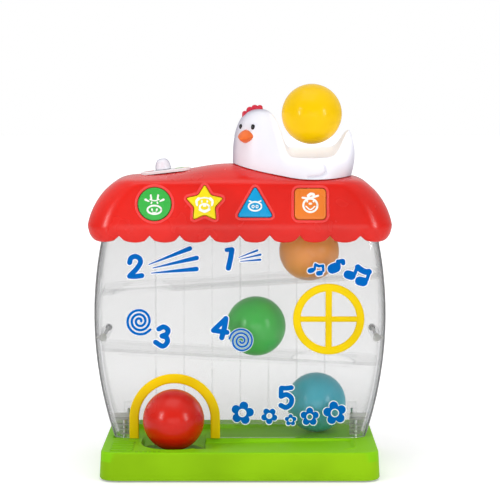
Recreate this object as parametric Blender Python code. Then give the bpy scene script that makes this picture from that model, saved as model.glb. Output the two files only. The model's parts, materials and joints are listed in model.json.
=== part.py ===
"""Toddler's ball-run barn: green base, clear housing with two troughs, red roof with buttons, and a hen.

The balls go in at the hen's back, run down the troughs and leave by the arched door.
Metres, +Z up, front at -Y.
The origin is on the table under the middle of the base. Depths of the housing are counted from its mid-plane.
"""

import math

import bmesh
import bpy
from mathutils import Matrix, Vector

MM = 0.001
GAP = 0.3 * MM
BITE = 0.5 * MM

# Balls
BALL_RADIUS = 25 * MM
BALL_ROOM = 1.2 * MM

# Housing, which most places across and down the toy follow
HOUSING_HALF_WIDTH = 121 * MM
HOUSING_HALF_DEPTH = 30 * MM

# Base
BASE_HALF_WIDTH = HOUSING_HALF_WIDTH - 9 * MM
BASE_HALF_DEPTH = 68.5 * MM
BASE_TOP = 24 * MM
BASE_CORNER = 14 * MM
BASE_DRAFT = 1.2 * MM
BASE_EDGE_ROUND = 1.5 * MM
BASE_WALL = 2.2 * MM
BASE_CEILING = 15.6 * MM
FOOT_LIFT = 1.2 * MM
FOOT_RADIUS = 7 * MM
FOOT_DEPTH = 1.8 * MM
COVER_THICKNESS = 2.4 * MM
COUNTERBORE_FLOOR = 0.8 * MM
FOOT_X = 0.595 * HOUSING_HALF_WIDTH
FOOT_Y = 52 * MM
BASE_SCREW_X = BASE_HALF_WIDTH - 20 * MM
DISH_RADIUS = 29 * MM
DISH_FLOOR = 18.2 * MM
DISH_SETBACK = 37 * MM
TROUGH_RIGHT = BASE_HALF_WIDTH - 19 * MM
TROUGH_HALF_DEPTH = 21 * MM
TROUGH_RIGHT_FLOOR = 22.4 * MM
CHANNEL_TOP_FLOOR = 24.1 * MM
MAT_RIBS = 6
MAT_SETBACK = 8 * MM
MAT_PITCH = 6.4 * MM
MAT_RIB_HEIGHT = 0.7 * MM

# Clear housing, a barrel side with its widest place at BULGE_HEIGHT
HOUSING_SETBACK = 57 * MM
HOUSING_WALL = 2 * MM
HOUSING_CORNER = 12 * MM
HOUSING_TOP = 203 * MM
BULGE_HEIGHT = 124 * MM
BULGE_RADIUS = 318 * MM
HOUSING_LEVELS = 8
PLANK_PITCH = 0.2 * HOUSING_HALF_WIDTH
PLANK_COUNT = 7
PLANK_HEIGHT = 0.5 * MM
PLANK_WIDTH = 1.6 * MM

# Door, window and the bosses of the housing
DOOR_X = -0.4463 * HOUSING_HALF_WIDTH
DOOR_ARCH_HEIGHT = 40.6 * MM
DOOR_RADIUS = 29.6 * MM
ARCH_WIDTH = 7.9 * MM
ARCH_PROUD = 1.6 * MM
ARCH_LINER = 1.4 * MM
WINDOW_X = 0.6033 * HOUSING_HALF_WIDTH
WINDOW_Z = 123.6 * MM
WINDOW_RADIUS = 29.4 * MM
WINDOW_RING = 6.4 * MM
WINDOW_BAR_UP = 5.4 * MM
WINDOW_BAR_ACROSS = 4.6 * MM
WINDOW_PROUD = 1.5 * MM
SIDE_BOSS_X = HOUSING_HALF_WIDTH - 8 * MM
SIDE_BOSS_Z = 108 * MM
CORNER_BOSS_X = HOUSING_HALF_WIDTH - 25 * MM
CORNER_BOSS_Y = HOUSING_HALF_DEPTH - 5.8 * MM
CORNER_BOSS_HEIGHT = 20 * MM
TOP_BOSS_X = HOUSING_HALF_WIDTH - 18 * MM
BOSS_RADIUS = 4.2 * MM
SCREW_RADIUS = 1.3 * MM
SCREW_ROOM = 0.3 * MM
SCREW_HEAD_RADIUS = 2.9 * MM
SCREW_HEAD = 1.8 * MM

# Troughs: the flange height is that at the ball, the fall is in degrees and positive to the right
TROUGH_WALL = 1.8 * MM
FLANGE_INNER = HOUSING_HALF_DEPTH - 6 * MM
UPPER_BALL_X = 0.4777 * HOUSING_HALF_WIDTH
UPPER_BALL_Z = 177.2 * MM
UPPER_FALL = -3.5
UPPER_DEPTH = 6 * MM
UPPER_HOLE_X = -0.6612 * HOUSING_HALF_WIDTH
MIDDLE_BALL_X = 0.1099 * HOUSING_HALF_WIDTH
MIDDLE_BALL_Z = 113.6 * MM
MIDDLE_FALL = 3.07
MIDDLE_DEPTH = 3 * MM
MIDDLE_HOLE_X = 0.5785 * HOUSING_HALF_WIDTH
LEDGE_REACH = 1.7 * MM
LEDGE_THICKNESS = 2 * MM
LEDGE_HALF_LENGTH = HOUSING_HALF_WIDTH - 21 * MM
LOWER_BALL_X = 0.5298 * HOUSING_HALF_WIDTH
BALL_YELLOW_Z = 291.3 * MM

# Roof
SKIRT_OVERHANG = 3.9 * MM
SKIRT_HALF_WIDTH = HOUSING_HALF_WIDTH + SKIRT_OVERHANG
SKIRT_HALF_DEPTH = HOUSING_HALF_DEPTH + 19 * MM
SKIRT_CORNER = 24 * MM
SKIRT_WIDEST = 201.4 * MM
LIP_ACROSS = 6 * MM
LIP_DEEP = 2 * MM
CREASE_HEIGHT = 237.5 * MM
ROOF_TILT = 10
SHOULDER_RADIUS = 56.1 * MM
SHOULDER_HEIGHT = 191.5 * MM
ROOF_EDGE = 3.3 * MM
ROOF_CROWN = 9.5 * MM
ROOF_FLAT = 0.79
ROOF_BOSS_X = SKIRT_HALF_WIDTH - 24.9 * MM
ROOF_BOSS_Z = 212 * MM
CROWN_X = -0.058 * HOUSING_HALF_WIDTH
CROWN_SPREAD = 45 * MM
ROOF_WALL = 2.2 * MM
SCALLOP_CUSP = 194.2 * MM
SCALLOP_DROP = 5.2 * MM
SCALLOP_COUNT_ACROSS = 8
SCALLOP_COUNT_DEEP = 2
SCALLOP_STEPS = 4
CORNER_STEPS = 5
ROOF_FLOOR = 2 * MM
NOTCH_DEPTH = 7.5 * MM

# Buttons on the sloping front
BUTTON_Z = 219.5 * MM
BUTTON_PROUD = 1.2 * MM
BUTTON_FLANGE = 1.5 * MM
BUTTON_FLANGE_STEP = 1.8 * MM
BUTTON_ROOM = 0.5 * MM
BUTTON_TRAVEL = 2.5 * MM
CIRCLE_X = -0.5686 * HOUSING_HALF_WIDTH
CIRCLE_RADIUS = 13.3 * MM
STAR_X = -0.2347 * HOUSING_HALF_WIDTH
STAR_RADIUS = 15.6 * MM
STAR_WAIST = 8.6 * MM
TRIANGLE_X = 0.1025 * HOUSING_HALF_WIDTH
TRIANGLE_SIDE = 29 * MM
TRIANGLE_ROUND = 2.6 * MM
SQUARE_X = 0.4711 * HOUSING_HALF_WIDTH
SQUARE_SIDE = 25 * MM
SQUARE_ROUND = 3.2 * MM
KEYPAD_SHEET = 1 * MM
KEYPAD_DOME = 2.2 * MM
BOARD_THICKNESS = 1.6 * MM
BOARD_HALF_HEIGHT = 11 * MM
BOARD_MARGIN = 17 * MM

# Ball chute, lever and switch
CHUTE_X = 0.4926 * HOUSING_HALF_WIDTH
CHUTE_RADIUS = 27 * MM
CHUTE_WALL = 1.8 * MM
CHUTE_TOP = 246 * MM
LEVER_PIVOT_Z = 232 * MM
LEVER_DROP = 16 * MM
LEVER_WIDTH = 5 * MM
LEVER_THICKNESS = 2 * MM
LEVER_TIP_RADIUS = 26 * MM
LEVER_HUB = 2.6 * MM
PIN_RADIUS = 1 * MM
PIN_ROOM = 0.3 * MM

# Slide switch
SWITCH_X = -0.5066 * HOUSING_HALF_WIDTH
SWITCH_HALF_LENGTH = 20.7 * MM
SWITCH_HALF_WIDTH = 9 * MM
SWITCH_PLATE = 1.4 * MM
SWITCH_Y = -8 * MM
SWITCH_SEAT = 0.6 * MM
SWITCH_SAG = 1.2 * MM
KNOB_RADIUS = 6.5 * MM
KNOB_HEIGHT = 9 * MM
KNOB_NECK = 2 * MM
SWITCH_TRAVEL = 4 * MM
KNOB_REST = -2 * MM

# Hen, in polar form about the chute's axis
HEN_SEAT = 0.7 * MM
HEN_WALL = 2.2 * MM
HEN_FOOT = 39.5 * MM
BREAST_REACH = 26.2 * MM
BREAST_SPREAD = 34
HEAD_HEIGHT = 295.4 * MM
HEAD_CREST = 43 * MM
HEAD_SPREAD = 41.5
HEAD_X = CHUTE_X - 44.1 * MM
FACE_TURN = 32
BEAK_Z = 273.2 * MM
EYE_Z = 281 * MM
EYE_TURN = 19
EYE_SIZES = (1.75 * MM, 2.2 * MM, 2 * MM)
BEAK_SIZES = (5.8 * MM, 4.6 * MM, 8.5 * MM)
COMB_TURN = 72
COMB_LOBES = (
    (13.3 * MM, 2.7 * MM),
    (9.6 * MM, 3 * MM),
    (5.6 * MM, 3.1 * MM),
    (1.4 * MM, 3.2 * MM),
    (-2.4 * MM, 3 * MM),
)
COMB_THICKNESS = 4.4 * MM
COMB_TAPER = 0.05
TAIL_HEIGHT = 278 * MM
TAIL_CREST = 31 * MM
TAIL_FOOT = 33 * MM
TAIL_BULGE = 3 * MM
TAIL_SPREAD = 44
RIM_FRONT = 256 * MM
RIM_BACK = 263 * MM
RIM_CREST = 32.5 * MM
THROAT_RADIUS = 27.4 * MM
THROAT_TOP = 250 * MM
HEN_STEPS_ROUND = 32
HEN_STEPS_UP = 5

# Speaker, batteries and their door in the back of the roof
SPEAKER_X = -0.6281 * HOUSING_HALF_WIDTH
SPEAKER_RADIUS = 13 * MM
SPEAKER_DEPTH = 7 * MM
GRILLE_RADIUS = 7 * MM
GRILLE_HOLE = 1.6 * MM
BATTERY_X = -0.1157 * HOUSING_HALF_WIDTH
CELL_RADIUS = 5.2 * MM
CELL_LENGTH = 44.5 * MM
BATTERY_WALL = 1.6 * MM
BATTERY_DOOR_Z = 221 * MM
BATTERY_DOOR_HALF_WIDTH = 33 * MM
BATTERY_DOOR_HALF_HEIGHT = 13 * MM
BATTERY_DOOR_THICKNESS = 1.8 * MM

# Places that follow from the sizes above
HOUSING_Y = -BASE_HALF_DEPTH + HOUSING_SETBACK + HOUSING_HALF_DEPTH
DISH_Y = -BASE_HALF_DEPTH + DISH_SETBACK
WALL_FRONT = HOUSING_Y - HOUSING_HALF_DEPTH
HOUSING_FOOT = BASE_TOP + GAP
LOWER_FALL = math.atan2(CHANNEL_TOP_FLOOR - DISH_FLOOR - 1.2 * MM, MIDDLE_HOLE_X + 14 * MM - DOOR_X)


def clear_scene():
    """Remove whatever the scene holds."""
    for item in list(bpy.data.objects):
        bpy.data.objects.remove(item, do_unlink=True)


def finish(name, colour, roughness, metallic=0.0, alpha=1.0):
    """A Principled material of one colour, given as 0 to 255 screen values."""
    made = bpy.data.materials.new(name)
    made.use_nodes = True
    shader = made.node_tree.nodes["Principled BSDF"]
    linear = [(level / 255) ** 2.2 for level in colour]
    shader.inputs["Base Color"].default_value = (*linear, 1.0)
    shader.inputs["Roughness"].default_value = roughness
    shader.inputs["Metallic"].default_value = metallic
    shader.inputs["Alpha"].default_value = alpha
    return made


# Solids are pairs of a vertex list and a face list


def loft(rings, closed=True):
    """Skin between rings of equal length, with a face on the first and the last, or joined end to end."""
    count = len(rings[0])
    vertices = [point for ring in rings for point in ring]
    spans = len(rings) - 1 if closed else len(rings)
    faces = []
    for row in range(spans):
        low = row * count
        high = (row + 1) % len(rings) * count
        for column in range(count):
            after = (column + 1) % count
            faces.append((low + column, low + after, high + after, high + column))
    if closed:
        faces.append(tuple(range(count)))
        faces.append(tuple(range((len(rings) - 1) * count, len(rings) * count)))
    return vertices, faces


def prism(outline, place, low, high):
    """Extrude a flat outline between two heights; place turns (u, v, height) into a point."""
    return loft([[place(u, v, height) for u, v in outline] for height in (low, high)])


def upright(u, v, height):
    return u, v, height


def facing(u, v, height):
    return u, height, v


def sideways(u, v, height):
    return height, u, v


def box(low, high):
    outline = [(low[0], low[1]), (high[0], low[1]), (high[0], high[1]), (low[0], high[1])]
    return prism(outline, upright, low[2], high[2])


def arc(centre_u, centre_v, radius, start, stop, steps):
    """Points on an arc, with the angles in degrees."""
    angles = [math.radians(start + (stop - start) * step / steps) for step in range(steps + 1)]
    return [(centre_u + radius * math.cos(angle), centre_v + radius * math.sin(angle)) for angle in angles]


def circle(radius, steps, centre_u=0.0, centre_v=0.0):
    return arc(centre_u, centre_v, radius, 0, 360, steps)[:-1]


def rounded_rectangle(half_u, half_v, radius, steps=4):
    corners = [(1, 1, 0), (-1, 1, 90), (-1, -1, 180), (1, -1, 270)]
    points = []
    for side_u, side_v, start in corners:
        centre_u = side_u * (half_u - radius)
        centre_v = side_v * (half_v - radius)
        points += arc(centre_u, centre_v, radius, start, start + 90, steps)
    return points


def rounded_polygon(corners, radius, steps=3):
    """Round each corner of a convex or starred outline by a curve that starts a radius before it."""
    points = []
    for index, corner in enumerate(corners):
        here = Vector(corner)
        before = here + (Vector(corners[index - 1]) - here).normalized() * radius
        after = here + (Vector(corners[(index + 1) % len(corners)]) - here).normalized() * radius
        for step in range(steps + 1):
            share = step / steps
            bend = before * (1 - share) ** 2 + here * 2 * share * (1 - share) + after * share ** 2
            points.append((bend.x, bend.y))
    return points


def grown(outline, step):
    """Move an outline outwards by a distance, along the bisector at each point."""
    moved = []
    for index, point in enumerate(outline):
        here = Vector(point)
        along = (Vector(outline[(index + 1) % len(outline)]) - Vector(outline[index - 1])).normalized()
        moved.append((here.x + along.y * step, here.y - along.x * step))
    return moved


def turned(profile, steps, centre=(0.0, 0.0, 0.0), place=upright):
    """Turn an open profile of (radius, height) about its axis; its ends are flat or lie on the axis."""
    rings = [
        [
            tuple(a + b for a, b in zip(place(*spot, height), centre))
            for spot in circle(max(radius, 0.02 * MM), steps)
        ]
        for radius, height in profile
    ]
    return loft(rings)


def pipe(outer, inner, low, high, steps, centre=(0.0, 0.0, 0.0), place=upright):
    """A straight tube along its axis."""
    stations = [(outer, low), (outer, high), (inner, high), (inner, low)]
    rings = [
        [tuple(a + b for a, b in zip(place(*spot, height), centre)) for spot in circle(radius, steps)]
        for radius, height in stations
    ]
    return loft(rings, closed=False)


def moved(solid, turn):
    """A solid carried by a 4 by 4 matrix."""
    vertices, faces = solid
    return [tuple(turn @ Vector(point)) for point in vertices], faces


def joined(*solids):
    """Several solids as one list of vertices and faces; they stay separate bodies."""
    vertices = []
    faces = []
    for solid in solids:
        start = len(vertices)
        vertices += solid[0]
        faces += [tuple(start + index for index in face) for face in solid[1]]
    return vertices, faces


def build(name, solid, material, pivot=(0.0, 0.0, 0.0)):
    """Make an object of a solid, with its origin at the pivot and its faces pointing out."""
    mesh = bpy.data.meshes.new(name)
    offset = Vector(pivot)
    mesh.from_pydata([tuple(Vector(point) - offset) for point in solid[0]], [], solid[1])
    shape = bmesh.new()
    shape.from_mesh(mesh)
    bmesh.ops.recalc_face_normals(shape, faces=shape.faces)
    shape.to_mesh(mesh)
    shape.free()
    mesh.shade_smooth()
    mesh.set_sharp_from_angle(angle=math.radians(32))
    made = bpy.data.objects.new(name, mesh)
    made.location = pivot
    bpy.context.scene.collection.objects.link(made)
    if material is not None:
        mesh.materials.append(material)
    return made


def combine(target, solid, operation, name):
    """Add, cut or keep by a guide object that takes no part in the finished model."""
    guide = build(target.name + "_" + name, solid, None)
    guide.hide_render = True
    guide.display_type = "WIRE"
    step = target.modifiers.new(name, "BOOLEAN")
    step.operation = operation
    step.solver = "EXACT"
    step.object = guide


def screw_solid(head, length, axis):
    """A pan-head screw from the seat under its head, with the shaft along an axis."""
    profile = [
        (SCREW_HEAD_RADIUS * 0.8, -SCREW_HEAD),
        (SCREW_HEAD_RADIUS, 0.0),
        (SCREW_RADIUS, 0.0),
        (SCREW_RADIUS, length),
    ]
    turn = Vector(axis).to_track_quat("Z", "Y").to_matrix().to_4x4()
    return moved(turned(profile, 8), Matrix.Translation(Vector(head)) @ turn)


# Green base


def base_outline(inset=0.0, height=BASE_TOP):
    """The base in plan, which narrows a little towards its top."""
    draft = BASE_DRAFT * height / BASE_TOP + inset
    radius = max(BASE_CORNER - draft, 1 * MM)
    return rounded_rectangle(BASE_HALF_WIDTH - draft, BASE_HALF_DEPTH - draft, radius)


def base_ring(height, inset=0.0):
    return [(x, y, height) for x, y in base_outline(inset, height)]


def place_name(side, end=0):
    """Words for a place: side is -1 at the left, end is -1 at the front and 0 for neither."""
    return {-1: "front_", 0: "", 1: "back_"}[end] + {-1: "left", 1: "right"}[side]


def base_post_places():
    """The cover is held by a screw at each side."""
    return {place_name(side): (side * BASE_SCREW_X, HOUSING_Y) for side in (-1, 1)}


def corner_boss_places():
    return {
        place_name(side, end): (side * CORNER_BOSS_X, HOUSING_Y + end * CORNER_BOSS_Y)
        for side in (-1, 1)
        for end in (-1, 1)
    }


def top_boss_places():
    """The roof floor is held by a screw at the left front and one at the right back."""
    return {
        place_name(side, side): (side * TOP_BOSS_X, HOUSING_Y + side * CORNER_BOSS_Y) for side in (-1, 1)
    }


def base_tray(material):
    outer = loft(
        [
            base_ring(FOOT_LIFT),
            base_ring(BASE_TOP - BASE_EDGE_ROUND),
            base_ring(BASE_TOP - BASE_EDGE_ROUND * 0.3, BASE_EDGE_ROUND * 0.3),
            base_ring(BASE_TOP, BASE_EDGE_ROUND),
        ]
    )
    tray = build("base_tray", outer, material)
    hollow = loft([base_ring(height, BASE_WALL) for height in (-FOOT_DEPTH, BASE_CEILING)])
    combine(tray, hollow, "DIFFERENCE", "hollow")
    combine(tray, channel_cutter(), "DIFFERENCE", "channel")
    combine(tray, door_slope_cutter(), "DIFFERENCE", "door_slope")
    combine(tray, front_trough_cutter(), "DIFFERENCE", "front_trough")
    dish = turned(
        [
            (DISH_RADIUS * 0.4, DISH_FLOOR),
            (DISH_RADIUS - 4 * MM, DISH_FLOOR + 0.8 * MM),
            (DISH_RADIUS - 1 * MM, DISH_FLOOR + 3 * MM),
            (DISH_RADIUS, BASE_TOP + 5 * MM),
        ],
        32,
        (DOOR_X, DISH_Y, 0.0),
    )
    combine(tray, dish, "DIFFERENCE", "dish")
    posts = [
        moved(
            prism(circle(BOSS_RADIUS, 12), upright, cover_top() + GAP, BASE_CEILING + BITE),
            Matrix.Translation((x, y, 0)),
        )
        for x, y in base_post_places().values()
    ]
    combine(tray, joined(*posts), "UNION", "posts")
    bores = [
        moved(
            prism(circle(SCREW_RADIUS + SCREW_ROOM, 12), upright, 0, BASE_CEILING - 2 * MM),
            Matrix.Translation((x, y, 0)),
        )
        for x, y in base_post_places().values()
    ]
    holes = [
        moved(
            prism(circle(SCREW_RADIUS + SCREW_ROOM, 12), upright, BASE_CEILING - 1 * MM, BASE_TOP + 1 * MM),
            Matrix.Translation((x, y, 0)),
        )
        for x, y in corner_boss_places().values()
    ]
    combine(tray, joined(*bores, *holes), "DIFFERENCE", "bores")
    combine(tray, door_mat(), "UNION", "door_mat")
    return tray


def channel_cutter():
    """The ball channel inside the housing: a floor that falls to the left as far as the door."""
    inside = HOUSING_HALF_DEPTH - HOUSING_WALL
    door_floor = DISH_FLOOR + 1.2 * MM
    right = DOOR_X + (BASE_TOP - door_floor) / math.tan(LOWER_FALL)
    left = -(housing_half_width(BASE_TOP) - HOUSING_WALL - HOUSING_CORNER)
    outline = [
        (left, BASE_TOP + 5 * MM),
        (left, BASE_TOP - 1.5 * MM),
        (DOOR_X, door_floor),
        (right, BASE_TOP),
        (right, BASE_TOP + 5 * MM),
    ]
    return prism(outline, facing, HOUSING_Y - inside, HOUSING_Y + inside)


def door_slope_cutter():
    """The floor through the door, which falls forwards into the dish."""
    back = HOUSING_Y + HOUSING_HALF_DEPTH - HOUSING_WALL
    outline = [
        (back, BASE_TOP + 5 * MM),
        (back, DISH_FLOOR + 2.4 * MM),
        (HOUSING_Y, DISH_FLOOR + 1.2 * MM),
        (DISH_Y + DISH_RADIUS * 0.4, DISH_FLOOR + 0.1 * MM),
        (DISH_Y + DISH_RADIUS * 0.4, BASE_TOP + 5 * MM),
    ]
    reach = BALL_RADIUS + BALL_ROOM
    return prism(outline, sideways, DOOR_X - reach, DOOR_X + reach)


def front_trough_cutter():
    """The long shallow trough beside the dish, whose floor falls towards it."""
    centre = (TROUGH_RIGHT + DOOR_X) / 2
    half = (TROUGH_RIGHT - DOOR_X) / 2
    low = rounded_rectangle(half - 3 * MM, TROUGH_HALF_DEPTH - 3 * MM, 6 * MM)
    high = rounded_rectangle(half, TROUGH_HALF_DEPTH, 9 * MM)

    def floor(x):
        share = (x + half) / (2 * half)
        return DISH_FLOOR + 1 * MM + (TROUGH_RIGHT_FLOOR - DISH_FLOOR - 1 * MM) * share

    return loft(
        [
            [(centre + x, DISH_Y + y, floor(x)) for x, y in low],
            [(centre + x, DISH_Y + y, BASE_TOP) for x, y in high],
            [(centre + x, DISH_Y + y, BASE_TOP + 5 * MM) for x, y in high],
        ]
    )


def door_mat():
    """Raised ribs on the left front corner, before the dish."""
    left = -BASE_HALF_WIDTH + BASE_DRAFT + 7 * MM
    right = DOOR_X - DISH_RADIUS - 2.5 * MM
    ribs = []
    for index in range(MAT_RIBS):
        near = -BASE_HALF_DEPTH + MAT_SETBACK + index * MAT_PITCH
        low = (left, near, BASE_TOP - BITE)
        ribs.append(box(low, (right, near + 2.6 * MM, BASE_TOP + MAT_RIB_HEIGHT)))
    return joined(*ribs)


def cover_top():
    return FOOT_LIFT + COVER_THICKNESS


def base_cover(material):
    inset = BASE_WALL + GAP
    plate = loft([base_ring(height, inset) for height in (FOOT_LIFT, cover_top())])
    cover = build("base_cover", plate, material)
    pockets = [
        moved(
            prism(circle(FOOT_RADIUS + GAP, 16), upright, 0, FOOT_DEPTH + GAP), Matrix.Translation((x, y, 0))
        )
        for x, y in foot_places().values()
    ]
    screws = []
    for x, y in base_post_places().values():
        seat = Matrix.Translation((x, y, 0))
        profile = [
            (SCREW_HEAD_RADIUS + SCREW_ROOM, 0.0),
            (SCREW_HEAD_RADIUS + SCREW_ROOM, FOOT_LIFT + COUNTERBORE_FLOOR + GAP),
            (SCREW_RADIUS + SCREW_ROOM, FOOT_LIFT + COUNTERBORE_FLOOR + GAP),
            (SCREW_RADIUS + SCREW_ROOM, cover_top() + 1 * MM),
        ]
        screws.append(moved(turned(profile, 12), seat))
    combine(cover, joined(*pockets, *screws), "DIFFERENCE", "pockets_and_holes")
    return cover


def foot_places():
    return {
        place_name(side, end): (side * FOOT_X, end * FOOT_Y) for side in (-1, 1) for end in (-1, 1)
    }


def rubber_feet(material):
    profile = [(FOOT_RADIUS - 1 * MM, 0.0), (FOOT_RADIUS, 1 * MM), (FOOT_RADIUS, FOOT_DEPTH)]
    for name, (x, y) in foot_places().items():
        build("rubber_foot_" + name, turned(profile, 16, (x, y, 0.0)), material)


def base_screws(material):
    seat = FOOT_LIFT + COUNTERBORE_FLOOR
    for name, (x, y) in base_post_places().items():
        build("base_screw_" + name, screw_solid((x, y, seat), 9 * MM, (0, 0, 1)), material)


# Clear housing


def housing_half_width(height):
    """The barrel side is an arc about the height of its widest place."""
    rise = height - BULGE_HEIGHT
    return HOUSING_HALF_WIDTH - BULGE_RADIUS + math.sqrt(BULGE_RADIUS ** 2 - rise ** 2)


def housing_levels():
    step = (HOUSING_TOP - HOUSING_FOOT) / HOUSING_LEVELS
    return [HOUSING_FOOT + step * level for level in range(HOUSING_LEVELS + 1)]


def half_wall_path(height, inset, end):
    """Half of the housing in plan, from the left seam round the front or the back to the right seam."""
    half = housing_half_width(height) - inset
    depth = HOUSING_HALF_DEPTH - inset
    radius = HOUSING_CORNER - inset
    path = [(-half, GAP / 2)]
    path += arc(-half + radius, depth - radius, radius, 180, 90, 4)
    path += arc(half - radius, depth - radius, radius, 90, 0, 4)
    path += [(half, GAP / 2)]
    return [(x, HOUSING_Y + end * y, height) for x, y in path]


def housing_shell(end):
    """The curved wall of one half; end is -1 at the front and 1 at the back."""
    rings = [
        half_wall_path(height, 0.0, end) + half_wall_path(height, HOUSING_WALL, end)[::-1]
        for height in housing_levels()
    ]
    return loft(rings)


def housing_room(inset):
    """The closed space between the walls, drawn in by an inset."""
    half_depth = HOUSING_HALF_DEPTH - inset
    radius = HOUSING_CORNER - inset
    rings = []
    for height in housing_levels():
        outline = rounded_rectangle(housing_half_width(height) - inset, half_depth, radius)
        rings.append([(x, HOUSING_Y + y, height) for x, y in outline])
    return loft(rings)


def inner_wall(end):
    return HOUSING_Y + end * (HOUSING_HALF_DEPTH - HOUSING_WALL)


def side_bosses(end):
    """Round bosses at the seam for the two side screws."""
    low, high = sorted((HOUSING_Y + end * GAP / 2, inner_wall(end) + end * BITE))
    posts = [
        prism(circle(BOSS_RADIUS, 14, side * SIDE_BOSS_X, SIDE_BOSS_Z), facing, low, high) for side in (-1, 1)
    ]
    return joined(*posts)


def side_boss_webs(end):
    """A rib that ties each side boss to the side wall."""
    webs = []
    reach = housing_half_width(SIDE_BOSS_Z) - HOUSING_WALL + BITE
    low, high = sorted((HOUSING_Y + end * 4 * MM, inner_wall(end) - end * 10 * MM))
    for side in (-1, 1):
        left, right = sorted((side * (SIDE_BOSS_X + BOSS_RADIUS - BITE), side * reach))
        webs.append(box((left, low, SIDE_BOSS_Z - 0.8 * MM), (right, high, SIDE_BOSS_Z + 0.8 * MM)))
    return joined(*webs)


def corner_bosses(end):
    """Upright bosses in the bottom and top corners, for the screws of the base and of the roof floor."""
    posts = []
    y = HOUSING_Y + end * CORNER_BOSS_Y
    for side in (-1, 1):
        for low in (HOUSING_FOOT, HOUSING_TOP - CORNER_BOSS_HEIGHT):
            x = side * (CORNER_BOSS_X if low == HOUSING_FOOT else TOP_BOSS_X)
            posts.append(prism(circle(BOSS_RADIUS, 14, x, y), upright, low, low + CORNER_BOSS_HEIGHT))
    return joined(*posts)


def boss_bores(end):
    """Blind holes for every screw that ends in this half, and the way through for the side screws."""
    bore = SCREW_RADIUS + SCREW_ROOM
    y = HOUSING_Y + end * CORNER_BOSS_Y
    holes = []
    for side in (-1, 1):
        bottom = (HOUSING_FOOT - 1 * MM, HOUSING_FOOT + CORNER_BOSS_HEIGHT - 3 * MM)
        top = (HOUSING_TOP - CORNER_BOSS_HEIGHT + 3 * MM, HOUSING_TOP + 1 * MM)
        holes.append(prism(circle(bore, 10, side * CORNER_BOSS_X, y), upright, *bottom))
        holes.append(prism(circle(bore, 10, side * TOP_BOSS_X, y), upright, *top))
        if end > 0:
            through = (HOUSING_Y - 1 * MM, HOUSING_Y + HOUSING_HALF_DEPTH + 1 * MM)
        else:
            through = (inner_wall(end) + 3 * MM, HOUSING_Y + 1 * MM)
        holes.append(prism(circle(bore, 10, side * SIDE_BOSS_X, SIDE_BOSS_Z), facing, *through))
    return joined(*holes)


def ledges(end):
    """Sloping ribs on the wall under the flange of each trough."""
    ribs = []
    reach = sorted((inner_wall(end) + end * BITE, inner_wall(end) - end * LEDGE_REACH))
    for trough in (UPPER, MIDDLE):
        slope = -math.tan(math.radians(trough["fall"]))
        top = trough["edge"] - TROUGH_WALL - GAP
        outline = []
        for x, drop in ((-1, 0), (1, 0), (1, LEDGE_THICKNESS), (-1, LEDGE_THICKNESS)):
            place = x * LEDGE_HALF_LENGTH
            outline.append((place, top + slope * (place - trough["ball_x"]) - drop))
        ribs.append(prism(outline, facing, *reach))
    return joined(*ribs)


def door_outline(radius, foot):
    points = arc(DOOR_X, DOOR_ARCH_HEIGHT, radius, 0, 180, 16)
    return points + [(DOOR_X - radius, foot), (DOOR_X + radius, foot)]


def housing_front(material):
    shell = build("housing_front", housing_shell(-1), material)
    combine(shell, joined(side_bosses(-1), corner_bosses(-1), ledges(-1)), "UNION", "bosses_and_ledges")
    combine(shell, side_boss_webs(-1), "UNION", "webs")
    door = prism(
        door_outline(DOOR_RADIUS + ARCH_LINER + GAP, HOUSING_FOOT - 5 * MM),
        facing,
        WALL_FRONT - 5 * MM,
        WALL_FRONT + HOUSING_WALL + LEDGE_REACH + 1 * MM,
    )
    combine(shell, joined(door, boss_bores(-1)), "DIFFERENCE", "door_and_bores")
    return shell


def housing_back(material):
    shell = build("housing_back", housing_shell(1), material)
    combine(shell, joined(side_bosses(1), corner_bosses(1), ledges(1)), "UNION", "bosses_and_ledges")
    combine(shell, side_boss_webs(1), "UNION", "webs")
    combine(shell, boss_bores(1), "DIFFERENCE", "bores")
    combine(shell, plank_lines(), "UNION", "plank_lines")
    return shell


def plank_lines():
    """Low ribs down the outside of the back wall, as between the boards of a barn."""
    wall = HOUSING_Y + HOUSING_HALF_DEPTH
    ribs = []
    for index in range(PLANK_COUNT):
        x = (index - (PLANK_COUNT - 1) / 2) * PLANK_PITCH
        low = (x - PLANK_WIDTH / 2, wall - BITE, HOUSING_FOOT + 4 * MM)
        ribs.append(box(low, (x + PLANK_WIDTH / 2, wall + PLANK_HEIGHT, HOUSING_TOP - 14 * MM)))
    return joined(*ribs)


def housing_screws(material):
    """Side screws from the back, long screws up through the base and two down through the roof floor."""
    back = HOUSING_Y + HOUSING_HALF_DEPTH + GAP
    length = HOUSING_HALF_DEPTH * 2 - HOUSING_WALL - 8 * MM
    for side in (-1, 1):
        screw = screw_solid((side * SIDE_BOSS_X, back, SIDE_BOSS_Z), length, (0, -1, 0))
        build("side_screw_" + place_name(side), screw, material)
    reach = HOUSING_FOOT + CORNER_BOSS_HEIGHT - 5 * MM - BASE_CEILING
    for name, (x, y) in corner_boss_places().items():
        screw = screw_solid((x, y, BASE_CEILING - GAP), reach, (0, 0, 1))
        build("housing_screw_" + name, screw, material)
    for name, (x, y) in top_boss_places().items():
        screw = screw_solid((x, y, floor_top() + GAP), CORNER_BOSS_HEIGHT - 5 * MM, (0, 0, -1))
        build("roof_floor_screw_" + name, screw, material)


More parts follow.
